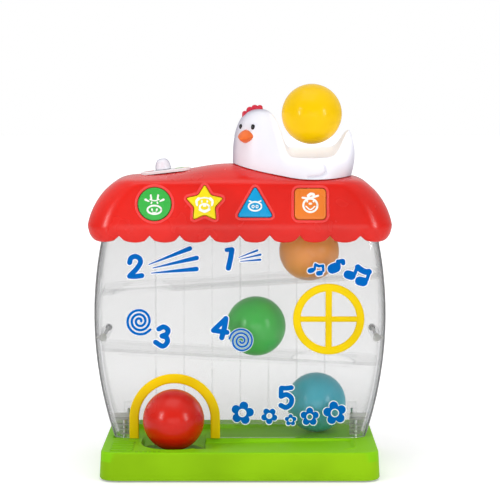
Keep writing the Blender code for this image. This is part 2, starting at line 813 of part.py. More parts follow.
def door_arch(material):
    """Flat arch before the wall, with a liner through the doorway."""
    foot = HOUSING_FOOT
    outside = door_outline(DOOR_RADIUS + ARCH_WIDTH, foot)
    front = WALL_FRONT - GAP
    arch = build("door_arch", prism(outside, facing, front - ARCH_PROUD, front), material)
    liner = prism(
        door_outline(DOOR_RADIUS + ARCH_LINER, foot), facing, front - BITE, WALL_FRONT + HOUSING_WALL
    )
    combine(arch, liner, "UNION", "liner")
    opening = prism(door_outline(DOOR_RADIUS, foot - 5 * MM), facing, front - 5 * MM, front + 9 * MM)
    combine(arch, opening, "DIFFERENCE", "opening")
    return arch


def window_frame(material):
    """Ring with a cross, on four pegs in the wall."""
    front = WALL_FRONT - GAP
    centre = (WINDOW_X, 0.0, WINDOW_Z)
    ring = pipe(
        WINDOW_RADIUS, WINDOW_RADIUS - WINDOW_RING, front - WINDOW_PROUD, front, 32, centre, facing
    )
    frame = build("window_frame", ring, material)
    reach = WINDOW_RADIUS - WINDOW_RING + BITE * 2
    half_up = WINDOW_BAR_UP / 2
    half_across = WINDOW_BAR_ACROSS / 2
    upright_bar = box(
        (WINDOW_X - half_up, front - WINDOW_PROUD * 0.9, WINDOW_Z - reach),
        (WINDOW_X + half_up, front - 0.1 * MM, WINDOW_Z + reach),
    )
    level_bar = box(
        (WINDOW_X - reach, front - WINDOW_PROUD * 0.8, WINDOW_Z - half_across),
        (WINDOW_X + reach, front - 0.2 * MM, WINDOW_Z + half_across),
    )
    combine(frame, upright_bar, "UNION", "upright_bar")
    combine(frame, level_bar, "UNION", "level_bar")
    return frame


# Troughs


def trough(name, sizes, material):
    """A sloping trough between the walls, with flat flanges and a round ball hole at its low end."""
    slope = -math.tan(math.radians(sizes["fall"]))
    flange = HOUSING_HALF_DEPTH
    top = [(-flange, 0.0)]
    for step in range(9):
        y = FLANGE_INNER * (step / 4 - 1)
        top.append((y, -sizes["depth"] * (1 - (y / FLANGE_INNER) ** 2)))
    top.append((flange, 0.0))
    under = [(y, z - TROUGH_WALL) for y, z in reversed(top)]
    rings = []
    for x in (-HOUSING_HALF_WIDTH - 5 * MM, HOUSING_HALF_WIDTH + 5 * MM):
        height = sizes["edge"] + slope * (x - sizes["ball_x"])
        rings.append([(x, HOUSING_Y + y, height + z) for y, z in top + under])
    made = build(name, loft(rings), material)
    combine(made, housing_room(HOUSING_WALL + GAP), "INTERSECT", "between_the_walls")
    hole = prism(
        circle(BALL_RADIUS + BALL_ROOM, 32, sizes["hole_x"], HOUSING_Y),
        upright,
        sizes["edge"] - 40 * MM,
        sizes["edge"] + 40 * MM,
    )
    combine(made, hole, "DIFFERENCE", "ball_hole")
    return made


def flange_height(ball_z, depth):
    """The flange of a trough on whose floor a ball lies with its centre at a height."""
    return ball_z - BALL_RADIUS - GAP + depth


UPPER = {
    "ball_x": UPPER_BALL_X,
    "ball_z": UPPER_BALL_Z,
    "edge": flange_height(UPPER_BALL_Z, UPPER_DEPTH),
    "fall": UPPER_FALL,
    "depth": UPPER_DEPTH,
    "hole_x": UPPER_HOLE_X,
}
MIDDLE = {
    "ball_x": MIDDLE_BALL_X,
    "ball_z": MIDDLE_BALL_Z,
    "edge": flange_height(MIDDLE_BALL_Z, MIDDLE_DEPTH),
    "fall": MIDDLE_FALL,
    "depth": MIDDLE_DEPTH,
    "hole_x": MIDDLE_HOLE_X,
}


def ball(name, centre, material):
    """A hollow ball is a closed sphere from outside."""
    steps = 10
    profile = [
        (BALL_RADIUS * math.sin(math.pi * step / steps), -BALL_RADIUS * math.cos(math.pi * step / steps))
        for step in range(steps + 1)
    ]
    return build(name, turned(profile, 18, centre), material, centre)


def lower_ball_height():
    """Centre of a ball on the channel floor of the base."""
    floor = DISH_FLOOR + 1.2 * MM + (LOWER_BALL_X - DOOR_X) * math.tan(LOWER_FALL)
    return floor + BALL_RADIUS / math.cos(LOWER_FALL) + GAP


def balls(finishes):
    made = {
        "ball_yellow": (CHUTE_X, HOUSING_Y, BALL_YELLOW_Z),
        "ball_orange": (UPPER_BALL_X, HOUSING_Y, UPPER_BALL_Z),
        "ball_green": (MIDDLE_BALL_X, HOUSING_Y, MIDDLE_BALL_Z),
        "ball_blue": (LOWER_BALL_X, HOUSING_Y, lower_ball_height()),
        "ball_red": (DOOR_X, DISH_Y, DISH_FLOOR + BALL_RADIUS + GAP),
    }
    for name, centre in made.items():
        ball(name, centre, finishes[name])


# Roof


def roof_half_width(height):
    """The roof's side is an arc from the widest place of the skirt up to the crease."""
    centre = SKIRT_HALF_WIDTH - math.sqrt(SHOULDER_RADIUS ** 2 - (SKIRT_WIDEST - SHOULDER_HEIGHT) ** 2)
    return centre + math.sqrt(SHOULDER_RADIUS ** 2 - (height - SHOULDER_HEIGHT) ** 2)


def roof_half_depth(height):
    """The front and the back lean in above the widest place."""
    return SKIRT_HALF_DEPTH - max(0.0, height - SKIRT_WIDEST) * math.tan(math.radians(ROOF_TILT))


def roof_top(x, depth):
    """Height of the roof's top at a place, with the depth counted from the mid-plane."""
    crease_width = roof_half_width(CREASE_HEIGHT)
    crown = ROOF_CROWN * math.exp(-(((x - CROWN_X) / CROWN_SPREAD) ** 2))
    beside = max(0.0, abs(x) - ROOF_FLAT * crease_width) / ((1 - ROOF_FLAT) * crease_width)
    shoulder = 1 - min(1.0, beside) ** 3
    across = min(1.0, abs(depth) / roof_half_depth(CREASE_HEIGHT))
    return CREASE_HEIGHT + (ROOF_EDGE + crown) * shoulder * (1 - across ** 2.2)


def skirt_path(half, depth, radius, end):
    """Half of the roof in plan: a point for each step of each scallop, and how low it hangs, 0 to 1."""
    marks = []
    side_lobes = SCALLOP_COUNT_DEEP // 2
    side_steps = side_lobes * SCALLOP_STEPS
    for step in range(side_steps):
        marks.append((-half, (depth - radius) * step / side_steps, step / SCALLOP_STEPS))
    for step, (x, y) in enumerate(arc(-half + radius, depth - radius, radius, 180, 90, CORNER_STEPS)[:-1]):
        marks.append((x, y, step / CORNER_STEPS))
    front_steps = SCALLOP_COUNT_ACROSS * SCALLOP_STEPS
    for step in range(front_steps):
        marks.append(((half - radius) * (2 * step / front_steps - 1), depth, step / SCALLOP_STEPS))
    for step, (x, y) in enumerate(arc(half - radius, depth - radius, radius, 90, 0, CORNER_STEPS)[:-1]):
        marks.append((x, y, step / CORNER_STEPS))
    for step in range(side_steps + 1):
        marks.append((half, (depth - radius) * (1 - step / side_steps), step / SCALLOP_STEPS))
    path = []
    for x, y, turn in marks:
        hang = math.sqrt(max(0.0, 1 - (2 * (turn % 1) - 1) ** 2))
        path.append((x, HOUSING_Y + end * max(y, GAP / 2), hang))
    return path


def skirt_row(half, depth, radius, end, height):
    """One row of the roof's surface; height turns (x, depth, hang) into a height."""
    return [
        (x, y, height(x, y - HOUSING_Y, hang)) for x, y, hang in skirt_path(half, depth, radius, end)
    ]


def skirt_bottom(_x, _depth, hang):
    return SCALLOP_CUSP - SCALLOP_DROP * hang


def top_rows(end, wall):
    """Rows from inside the crease to the ridge."""
    width = roof_half_width(CREASE_HEIGHT)
    depth = roof_half_depth(CREASE_HEIGHT)
    rows = []
    for across, deep, corner in ((0.955, 0.86, 0.8), (0.88, 0.5, 0.5), (0.82, 0.004, 0.004)):
        rows.append(
            skirt_row(
                width * across - wall,
                depth * deep,
                min(SKIRT_CORNER * corner, depth * deep),
                end,
                lambda x, y, hang: roof_top(x, y) - wall,
            )
        )
    return rows


def roof_shell(end):
    """One half of the roof: an outer and an inner sheet, closed along the scallops and along the seam."""
    outer = [
        skirt_row(
            SKIRT_HALF_WIDTH - LIP_ACROSS,
            SKIRT_HALF_DEPTH - LIP_DEEP,
            SKIRT_CORNER - LIP_DEEP,
            end,
            skirt_bottom,
        ),
        skirt_row(
            SKIRT_HALF_WIDTH - 1.4 * MM,
            SKIRT_HALF_DEPTH - 0.4 * MM,
            SKIRT_CORNER,
            end,
            lambda x, y, hang: (skirt_bottom(x, y, hang) + SKIRT_WIDEST - 2 * MM) / 2,
        ),
    ]
    rise = CREASE_HEIGHT - SKIRT_WIDEST
    for share in (0, 0.35, 0.7, 1):
        level = SKIRT_WIDEST + rise * share
        size = (roof_half_width(level), roof_half_depth(level), SKIRT_CORNER, end)
        outer.append(skirt_row(*size, lambda x, y, hang: level))
    outer += top_rows(end, 0.0)
    wall = ROOF_WALL
    inner = [
        skirt_row(
            SKIRT_HALF_WIDTH - LIP_ACROSS - wall,
            SKIRT_HALF_DEPTH - LIP_DEEP - wall,
            SKIRT_CORNER - LIP_DEEP - wall,
            end,
            skirt_bottom,
        )
    ]
    for share in (0, 0.45, 0.93):
        level = SKIRT_WIDEST + rise * share
        size = (roof_half_width(level) - wall, roof_half_depth(level) - wall, SKIRT_CORNER - wall, end)
        inner.append(skirt_row(*size, lambda x, y, hang: level))
    inner += top_rows(end, wall)
    return sheet_pair(outer, inner)


def sheet_pair(outer, inner):
    """Close two sheets of rows into one body: strips along the first and last rows, a face at each end."""
    columns = len(outer[0])
    rows = outer + inner
    vertices = [point for row in rows for point in row]
    faces = []
    for start, stop in ((0, len(outer)), (len(outer), len(rows))):
        for row in range(start, stop - 1):
            for column in range(columns - 1):
                low = row * columns + column
                faces.append((low, low + 1, low + columns + 1, low + columns))
    first_inner = len(outer) * columns
    for first, second in ((0, first_inner), (first_inner - columns, (len(rows) - 1) * columns)):
        for column in range(columns - 1):
            faces.append((first + column, first + column + 1, second + column + 1, second + column))
    for column in (0, columns - 1):
        up = [row * columns + column for row in range(len(outer))]
        down = [(len(outer) + row) * columns + column for row in range(len(inner))]
        faces.append(tuple(up + down[::-1]))
    return vertices, faces


def floor_top():
    return HOUSING_TOP + GAP + ROOF_FLOOR


def chute_cylinder(radius, low, high, steps=32):
    return prism(circle(radius, steps, CHUTE_X, HOUSING_Y), upright, low, high)


def roof_boss_places():
    return [side * ROOF_BOSS_X for side in (-1, 1)]


def roof_bosses(end):
    deep = HOUSING_Y + end * (roof_half_depth(ROOF_BOSS_Z) - ROOF_WALL / 2)
    low, high = sorted((HOUSING_Y + end * GAP / 2, deep))
    posts = [prism(circle(BOSS_RADIUS, 14, x, ROOF_BOSS_Z), facing, low, high) for x in roof_boss_places()]
    return joined(*posts)


def roof_screw_seat():
    return HOUSING_Y + roof_half_depth(ROOF_BOSS_Z) - 6 * MM


def roof_front(material):
    roof = build("roof_front", roof_shell(-1), material)
    combine(roof, joined(roof_bosses(-1), board_posts()), "UNION", "bosses")
    cuts = [chute_cylinder(CHUTE_RADIUS + CHUTE_WALL + GAP, CREASE_HEIGHT - 20 * MM, CREASE_HEIGHT + 30 * MM)]
    for x in roof_boss_places():
        bore = circle(SCREW_RADIUS + SCREW_ROOM, 10, x, ROOF_BOSS_Z)
        cuts.append(prism(bore, facing, HOUSING_Y - 14 * MM, HOUSING_Y + 1 * MM))
    for name in BUTTONS:
        outline = grown(button_outline(name), BUTTON_ROOM)
        cuts.append(moved(prism(outline, upright, -6 * MM, 6 * MM), button_frame(BUTTONS[name])))
    for x in board_post_places():
        bore = prism(circle(SCREW_RADIUS + SCREW_ROOM, 10), upright, board_face() - 1 * MM, -3.5 * MM)
        cuts.append(moved(bore, button_frame(x)))
    slot = rounded_rectangle(KNOB_NECK + SWITCH_TRAVEL + GAP, KNOB_NECK + GAP, KNOB_NECK + GAP)
    cuts.append(moved(prism(slot, upright, -8 * MM, 6 * MM), switch_frame()))
    combine(roof, joined(*cuts), "DIFFERENCE", "openings")
    return roof


def roof_back(material):
    roof = build("roof_back", roof_shell(1), material)
    combine(roof, roof_bosses(1), "UNION", "bosses")
    cuts = [chute_cylinder(CHUTE_RADIUS + CHUTE_WALL + GAP, CREASE_HEIGHT - 20 * MM, CREASE_HEIGHT + 30 * MM)]
    for x in roof_boss_places():
        profile = [
            (SCREW_RADIUS + SCREW_ROOM, HOUSING_Y - 1 * MM),
            (SCREW_RADIUS + SCREW_ROOM, roof_screw_seat()),
            (SCREW_HEAD_RADIUS + SCREW_ROOM, roof_screw_seat()),
            (SCREW_HEAD_RADIUS + SCREW_ROOM, HOUSING_Y + SKIRT_HALF_DEPTH + 5 * MM),
        ]
        cuts.append(turned(profile, 12, (x, 0.0, ROOF_BOSS_Z), facing))
    doorway = rounded_rectangle(BATTERY_DOOR_HALF_WIDTH + GAP, BATTERY_DOOR_HALF_HEIGHT + GAP, 2.3 * MM)
    cuts.append(moved(prism(doorway, upright, -8 * MM, 6 * MM), back_frame(BATTERY_X, BATTERY_DOOR_Z)))
    for u, v in speaker_holes():
        hole = prism(circle(GRILLE_HOLE, 8, u, v), upright, -8 * MM, 6 * MM)
        cuts.append(moved(hole, back_frame(SPEAKER_X, BUTTON_Z)))
    combine(roof, joined(*cuts), "DIFFERENCE", "openings")
    return roof


def roof_floor(material):
    """Plate over the housing inside the skirt, with holes for the chute and screws."""
    low = HOUSING_TOP + GAP
    high = floor_top()
    inset = ROOF_WALL + GAP * 2
    outline = rounded_rectangle(
        roof_half_width(high) - inset, roof_half_depth(high) - inset, SKIRT_CORNER - ROOF_WALL
    )
    plate = prism([(x, HOUSING_Y + y) for x, y in outline], upright, low, high)
    floor = build("roof_floor", plate, material)
    holes = [chute_cylinder(CHUTE_RADIUS, low - 5 * MM, high + 5 * MM)]
    for centre in top_boss_places().values():
        hole = circle(SCREW_RADIUS + SCREW_ROOM, 10, *centre)
        holes.append(prism(hole, upright, low - 1 * MM, high + 1 * MM))
    for name, x in BUTTONS.items():
        half = max(u for u, _v in button_outline(name)) + BUTTON_FLANGE_STEP + BUTTON_ROOM
        front = HOUSING_Y - roof_half_depth(high)
        near = (x - half, front - 5 * MM, low - 1 * MM)
        holes.append(box(near, (x + half, front + NOTCH_DEPTH, high + 1 * MM)))
    combine(floor, joined(*holes), "DIFFERENCE", "holes")
    return floor


def roof_screws(material):
    seat = roof_screw_seat() + GAP
    length = roof_half_depth(ROOF_BOSS_Z) - 6 * MM + 10 * MM
    for side in (-1, 1):
        screw = screw_solid((side * ROOF_BOSS_X, seat, ROOF_BOSS_Z), length, (0, -1, 0))
        build("roof_screw_" + place_name(side), screw, material)


# Buttons, keypad and board


def lean_frame(x, height, end):
    """Axes on the leaning front or back wall: along the wall, up the wall and out of it."""
    lean = math.radians(ROOF_TILT)
    out = Vector((0, end * math.cos(lean), math.sin(lean)))
    up = Vector((0, -end * math.sin(lean), math.cos(lean)))
    along = up.cross(out)
    turn = Matrix((along, up, out)).transposed().to_4x4()
    place = (x, HOUSING_Y + end * roof_half_depth(height), height)
    return Matrix.Translation(place) @ turn


def button_frame(x):
    return lean_frame(x, BUTTON_Z, -1)


def back_frame(x, height):
    return lean_frame(x, height, 1)


def wall_through():
    """Thickness of the leaning wall, square to it."""
    return ROOF_WALL * math.cos(math.radians(ROOF_TILT))


def button_outline(name):
    if name == "button_circle":
        return circle(CIRCLE_RADIUS, 24)
    if name == "button_star":
        corners = []
        for index in range(10):
            radius = STAR_WAIST if index % 2 else STAR_RADIUS
            angle = math.radians(90 + 36 * index)
            corners.append((radius * math.cos(angle), radius * math.sin(angle)))
        return rounded_polygon(corners, 1.8 * MM, 2)
    if name == "button_triangle":
        radius = TRIANGLE_SIDE / math.sqrt(3)
        corners = circle(radius, 3)
        turned_up = [(-v, u - radius * 0.22) for u, v in corners]
        return rounded_polygon(turned_up, TRIANGLE_ROUND * 2, 4)
    return rounded_rectangle(SQUARE_SIDE / 2, SQUARE_SIDE / 2, SQUARE_ROUND)


def button(name, x, material):
    """A cap that stands a little out of the roof, with a flange behind the wall that keeps it in."""
    outline = button_outline(name)
    flange_top = -wall_through() - GAP
    stations = [
        (BUTTON_FLANGE_STEP, flange_top - BUTTON_FLANGE),
        (BUTTON_FLANGE_STEP, flange_top),
        (0.0, flange_top),
        (0.0, BUTTON_PROUD - 0.5 * MM),
        (-0.6 * MM, BUTTON_PROUD),
    ]
    rings = [[(u, v, height) for u, v in grown(outline, step)] for step, height in stations]
    frame = button_frame(x)
    return build(name, moved(loft(rings), frame), material, frame.translation)


def dome_height():
    return -wall_through() - GAP * 2 - BUTTON_FLANGE - BUTTON_TRAVEL


def board_face():
    return dome_height() - KEYPAD_DOME - KEYPAD_SHEET - GAP


def board_post_places():
    """Posts of the board stand midway between neighbouring buttons."""
    return [(CIRCLE_X + STAR_X) / 2, (STAR_X + TRIANGLE_X) / 2, (TRIANGLE_X + SQUARE_X) / 2]


def board_posts():
    posts = []
    for x in board_post_places():
        post = prism(circle(3 * MM, 12), upright, board_face() + GAP, -wall_through() + BITE)
        posts.append(moved(post, button_frame(x)))
    return joined(*posts)


def rubber_keypad(material):
    """A sheet on the board with a dome behind each button, cut out round the posts."""
    left = CIRCLE_X - BOARD_MARGIN + 3 * MM
    right = SQUARE_X + BOARD_MARGIN - 3 * MM
    half = BOARD_HALF_HEIGHT - 1 * MM
    low = board_face() + GAP
    outline = [(left, -half), (right, -half), (right, half), (left, half)]
    sheet = moved(prism(outline, upright, low, low + KEYPAD_SHEET), button_frame(0.0))
    pad = build("rubber_keypad", sheet, material)
    domes = []
    for x in BUTTONS.values():
        profile = [
            (6 * MM, low + KEYPAD_SHEET - 0.4 * MM),
            (4 * MM, low + KEYPAD_SHEET + KEYPAD_DOME * 0.8),
            (3 * MM, low + KEYPAD_SHEET + KEYPAD_DOME),
        ]
        domes.append(moved(turned(profile, 10), button_frame(x)))
    combine(pad, joined(*domes), "UNION", "domes")
    holes = [
        moved(prism(circle(3.4 * MM, 12), upright, low - 2 * MM, low + 4 * MM), button_frame(x))
        for x in board_post_places()
    ]
    combine(pad, joined(*holes), "DIFFERENCE", "post_holes")
    return pad


def circuit_board(material):
    left = CIRCLE_X - BOARD_MARGIN
    right = SQUARE_X + BOARD_MARGIN
    outline = [
        (left, -BOARD_HALF_HEIGHT),
        (right, -BOARD_HALF_HEIGHT),
        (right, BOARD_HALF_HEIGHT),
        (left, BOARD_HALF_HEIGHT),
    ]
    top = board_face()
    plate = moved(prism(outline, upright, top - BOARD_THICKNESS, top), button_frame(0.0))
    board = build("circuit_board", plate, material)
    holes = [
        moved(
            prism(circle(SCREW_RADIUS + SCREW_ROOM, 10), upright, top - 3 * MM, top + 1 * MM), button_frame(x)
        )
        for x in board_post_places()
    ]
    combine(board, joined(*holes), "DIFFERENCE", "holes")
    return board


def board_screws(material):
    seat = board_face() - BOARD_THICKNESS - GAP
    places = board_post_places()
    for name, x in (("left", places[0]), ("right", places[-1])):
        screw = moved(screw_solid((0, 0, seat), 6 * MM, (0, 0, 1)), button_frame(x))
        build("board_screw_" + name, screw, material)


BUTTONS = {
    "button_circle": CIRCLE_X,
    "button_star": STAR_X,
    "button_triangle": TRIANGLE_X,
    "button_square": SQUARE_X,
}


# Ball chute and its lever


def lever_pivot():
    """Place of the lever's pin, behind the chute."""
    offset = CHUTE_RADIUS + CHUTE_WALL + LEVER_HUB + 2 * GAP
    return CHUTE_X, HOUSING_Y + offset, LEVER_PIVOT_Z


def ball_chute(material):
    foot = floor_top() + GAP
    centre = (CHUTE_X, HOUSING_Y, 0.0)
    tube = pipe(CHUTE_RADIUS + CHUTE_WALL, CHUTE_RADIUS, foot, CHUTE_TOP, 32, centre)
    chute = build("ball_chute", tube, material)
    x, y, z = lever_pivot()
    ears = []
    for side in (-1, 1):
        near = x + side * (LEVER_WIDTH / 2 + GAP)
        left, right = sorted((near, near + side * 1.8 * MM))
        low = (left, HOUSING_Y + CHUTE_RADIUS + CHUTE_WALL * 0.6, z - LEVER_HUB)
        ears.append(box(low, (right, y + LEVER_HUB, z + LEVER_HUB)))
    combine(chute, joined(*ears), "UNION", "ears")
    pin_hole = prism(circle(PIN_RADIUS + PIN_ROOM, 12, y, z), sideways, x - 9 * MM, x + 9 * MM)
    half = LEVER_WIDTH / 2 + 2 * GAP
    slot = box(
        (x - half, HOUSING_Y + CHUTE_RADIUS - 6 * MM, z - LEVER_DROP - 2.4 * MM),
        (x + half, HOUSING_Y + CHUTE_RADIUS + CHUTE_WALL + 0.2 * MM, z - LEVER_DROP + 5.5 * MM),
    )
    combine(chute, joined(pin_hole, slot), "DIFFERENCE", "pin_hole_and_slot")
    return chute


def trigger_lever(material):
    """A hub on the pin, a hanging arm, and a finger that reaches through the chute's wall."""
    x, y, z = lever_pivot()
    half = LEVER_WIDTH / 2
    thick = LEVER_THICKNESS / 2
    tip = HOUSING_Y + LEVER_TIP_RADIUS
    finger = z - LEVER_DROP
    outline = [
        (y - thick, z),
        (y - thick, finger + LEVER_THICKNESS),
        (tip, finger + LEVER_THICKNESS * 0.8),
        (tip, finger + LEVER_THICKNESS * 0.2),
        (y - thick, finger - LEVER_THICKNESS * 0.4),
        (y + thick, finger - LEVER_THICKNESS * 0.4),
        (y + thick, z),
    ]
    lever = build("trigger_lever", prism(outline, sideways, x - half, x + half), material, (x, y, z))
    hub = prism(circle(LEVER_HUB, 16, y, z), sideways, x - half, x + half)
    combine(lever, hub, "UNION", "hub")
    bore = prism(circle(PIN_RADIUS + PIN_ROOM, 12, y, z), sideways, x - 9 * MM, x + 9 * MM)
    combine(lever, bore, "DIFFERENCE", "bore")
    return lever


def trigger_pin(material):
    x, y, z = lever_pivot()
    reach = LEVER_WIDTH / 2 + GAP + 1.8 * MM
    return build("trigger_pin", prism(circle(PIN_RADIUS, 12, y, z), sideways, x - reach, x + reach), material)


def trigger_switch(material):
    """The little switch on the roof floor that the lever reaches when a ball passes."""
    x, y, z = lever_pivot()
    near = y + LEVER_THICKNESS / 2 + 4 * MM
    low = (x - 5 * MM, near, floor_top() + GAP)
    return build("trigger_switch", box(low, (x + 5 * MM, near + 5 * MM, z - LEVER_DROP + 3 * MM)), material)


# Slide switch on the roof


def switch_frame():
    """Axes on the roof's top under the switch: along its slope, across it and up."""
    ends = [roof_top(SWITCH_X + side * SWITCH_HALF_LENGTH, SWITCH_Y) for side in (-1, 1)]
    slope = math.atan2(ends[1] - ends[0], 2 * SWITCH_HALF_LENGTH)
    place = (SWITCH_X, HOUSING_Y + SWITCH_Y, sum(ends) / 2 + SWITCH_SEAT)
    return Matrix.Translation(place) @ Matrix.Rotation(-slope, 4, "Y")


def switch_plate(material):
    outline = rounded_rectangle(SWITCH_HALF_LENGTH, SWITCH_HALF_WIDTH, SWITCH_HALF_WIDTH * 0.98, 4)
    plate = build("switch_plate", moved(prism(outline, upright, 0.0, SWITCH_PLATE), switch_frame()), material)
    slot = rounded_rectangle(KNOB_NECK + SWITCH_TRAVEL + GAP, KNOB_NECK + GAP, KNOB_NECK + GAP)
    combine(plate, moved(prism(slot, upright, -2 * MM, 5 * MM), switch_frame()), "DIFFERENCE", "slot")
    return plate


def switch_knob(material):
    """A round knob on a neck that reaches through the slot into the switch below."""
    under = SWITCH_PLATE + GAP
    profile = [
        (KNOB_NECK, switch_foot() + GAP),
        (KNOB_NECK, under),
        (KNOB_RADIUS * 0.96, under),
    ]
    for point in arc(0.0, 0.0, 1.0, 10, 82, 4):
        profile.append((KNOB_RADIUS * point[0] ** 0.6, under + KNOB_HEIGHT * point[1]))
    frame = switch_frame() @ Matrix.Translation((KNOB_REST, 0, 0))
    return build("switch_knob", moved(turned(profile, 16), frame), material, frame.translation)


def switch_foot():
    """Depth of the groove that the knob's neck runs in."""
    return -SWITCH_SEAT - ROOF_WALL - SWITCH_SAG - GAP - 2.5 * MM


def slide_switch(material):
    top = switch_foot() + 2 * MM
    half = KNOB_NECK + SWITCH_TRAVEL + 3 * MM
    outline = [(-half, -4.5 * MM), (half, -4.5 * MM), (half, 4.5 * MM), (-half, 4.5 * MM)]
    body = moved(prism(outline, upright, top - 6 * MM, top), switch_frame())
    switch = build("slide_switch", body, material)
    groove = rounded_rectangle(KNOB_NECK + SWITCH_TRAVEL + GAP, KNOB_NECK + GAP, KNOB_NECK + GAP)
    cutter = moved(prism(groove, upright, switch_foot(), top + 2 * MM), switch_frame())
    combine(switch, cutter, "DIFFERENCE", "groove")
    return switch


# Hen: every section through the chute's axis is an outer wall, a rounded rim and a throat


def swell(angle, centre, spread, power):
    """A smooth bump about an angle, from 1 at its centre down to 0, in degrees."""
    away = abs((angle - centre + 180) % 360 - 180)
    return math.exp(-((away / spread) ** power))


def hen_section(angle):
    """Foot radius, crest radius, crest height, roundness of the wall and tail bulge at an angle."""
    breast = swell(angle, 180, BREAST_SPREAD, 2.4)
    head = swell(angle, 180, HEAD_SPREAD, 4.4)
    tail = swell(angle, 0, TAIL_SPREAD, 3.5)
    foot = HEN_FOOT + BREAST_REACH * breast - (HEN_FOOT - TAIL_FOOT) * swell(angle, 0, TAIL_SPREAD, 2)
    crest = RIM_CREST + (HEAD_CREST - RIM_CREST) * swell(angle, 180, 34, 2) - (RIM_CREST - TAIL_CREST) * tail
    rim = RIM_FRONT + (RIM_BACK - RIM_FRONT) * (1 + math.sin(math.radians(angle))) / 2
    height = rim + (HEAD_HEIGHT - rim) * head + (TAIL_HEIGHT - rim) * tail
    return foot, crest, height, 2.2 + 0.4 * breast, TAIL_BULGE * tail


def hen_place(radius, angle):
    turn = math.radians(angle)
    return CHUTE_X + radius * math.cos(turn), HOUSING_Y + radius * math.sin(turn)


def hen_seat(radius, angle):
    x, y = hen_place(radius, angle)
    return roof_top(x, y - HOUSING_Y) + HEN_SEAT


def hen_outside(angle, grow):
    """The outside from the foot over the crest down to the foot of the throat, as (radius, height)."""
    foot, crest, height, power, bulge = hen_section(angle)
    low = hen_seat(foot, angle)
    path = []
    for step in range(HEN_STEPS_UP + 1):
        turn = math.radians(90 * step / HEN_STEPS_UP)
        out = math.cos(turn) ** (2 / power) if step < HEN_STEPS_UP else 0.0
        rise = math.sin(turn) ** (2 / power)
        radius = crest + (foot + grow - crest) * out + bulge * math.sin(math.pi * rise)
        path.append((radius, low + (height + grow - low) * rise))
    throat = THROAT_RADIUS - grow
    for step in range(1, HEN_STEPS_UP + 1):
        turn = math.radians(90 * (1 - step / HEN_STEPS_UP))
        inward = math.cos(turn) if step < HEN_STEPS_UP else 1.0
        up = THROAT_TOP + (height + grow - THROAT_TOP) * math.sin(turn)
        path.append((crest - (crest - throat) * inward, up))
    path.append((throat, CHUTE_TOP + GAP))
    return path


def hen_inside(angle):
    """The hollow from the throat's wall over and down to the foot, as (radius, height)."""
    foot, crest, height, power, bulge = hen_section(angle)
    outer = foot - HEN_WALL
    inner = THROAT_RADIUS + HEN_WALL
    middle = min(max(crest, inner + GAP), outer - GAP)
    top = height - HEN_WALL * 1.3
    base = CHUTE_TOP + GAP
    path = []
    for step in range(HEN_STEPS_UP):
        turn = math.radians(90 * step / HEN_STEPS_UP)
        path.append((middle - (middle - inner) * math.cos(turn), base + (top - base) * math.sin(turn)))
    low = hen_seat(outer, angle)
    for step in range(HEN_STEPS_UP, -1, -1):
        turn = math.radians(90 * step / HEN_STEPS_UP)
        out = math.cos(turn) ** (2 / power) if step < HEN_STEPS_UP else 0.0
        rise = math.sin(turn) ** (2 / power)
        radius = middle + (outer - middle) * out + bulge * math.sin(math.pi * rise)
        path.append((radius, low + (top - low) * rise))
    return path


def hen_solid(grow, hollow):
    rings = []
    for step in range(HEN_STEPS_ROUND):
        angle = 360 * step / HEN_STEPS_ROUND
        path = hen_outside(angle, grow)
        if hollow:
            path += hen_inside(angle)
        rings.append([(*hen_place(radius, angle), height) for radius, height in path])
    return loft(rings, closed=False)


def hen_height(x, y):
    """Height of the hen's outside over a place."""
    across = x - CHUTE_X
    deep = y - HOUSING_Y
    radius = math.hypot(across, deep)
    angle = math.degrees(math.atan2(deep, across))
    foot, crest, height, power, _bulge = hen_section(angle)
    low = hen_seat(foot, angle)
    if radius >= foot:
        return low
    if radius >= crest:
        return low + (height - low) * (1 - ((radius - crest) / (foot - crest)) ** power) ** (1 / power)
    share = min(1.0, (crest - radius) / (crest - THROAT_RADIUS))
    return THROAT_TOP + (height - THROAT_TOP) * math.sqrt(1 - share ** 2)


def head_point(turn, height):
    """The point of the head's surface at a height, in a direction turned left from straight ahead."""
    angle = math.radians(turn)
    ahead = Vector((-math.sin(angle), -math.cos(angle), 0.0))
    centre = Vector((HEAD_X, HOUSING_Y, height))
    near, far = 0.0, 45 * MM
    for _step in range(24):
        middle = (near + far) / 2
        spot = centre + ahead * middle
        if hen_height(spot.x, spot.y) > height:
            near = middle
        else:
            far = middle
    return centre + ahead * near, ahead


def face_solid(turn, height, wide, tall, out, steps):
    """An egg on the head's surface: half its width, half its height and how far it stands out."""
    spot, ahead = head_point(turn, height)
    side = Vector((0, 0, 1)).cross(ahead)
    axes = Matrix((side, Vector((0, 0, 1)), -ahead)).transposed().to_4x4()
    profile = [(math.sin(math.pi * step / 8), -math.cos(math.pi * step / 8)) for step in range(9)]
    egg = turned(profile, steps)
    vertices = [(u * wide, v * tall, w * out) for u, v, w in egg[0]]
    return moved((vertices, egg[1]), Matrix.Translation(spot) @ axes)


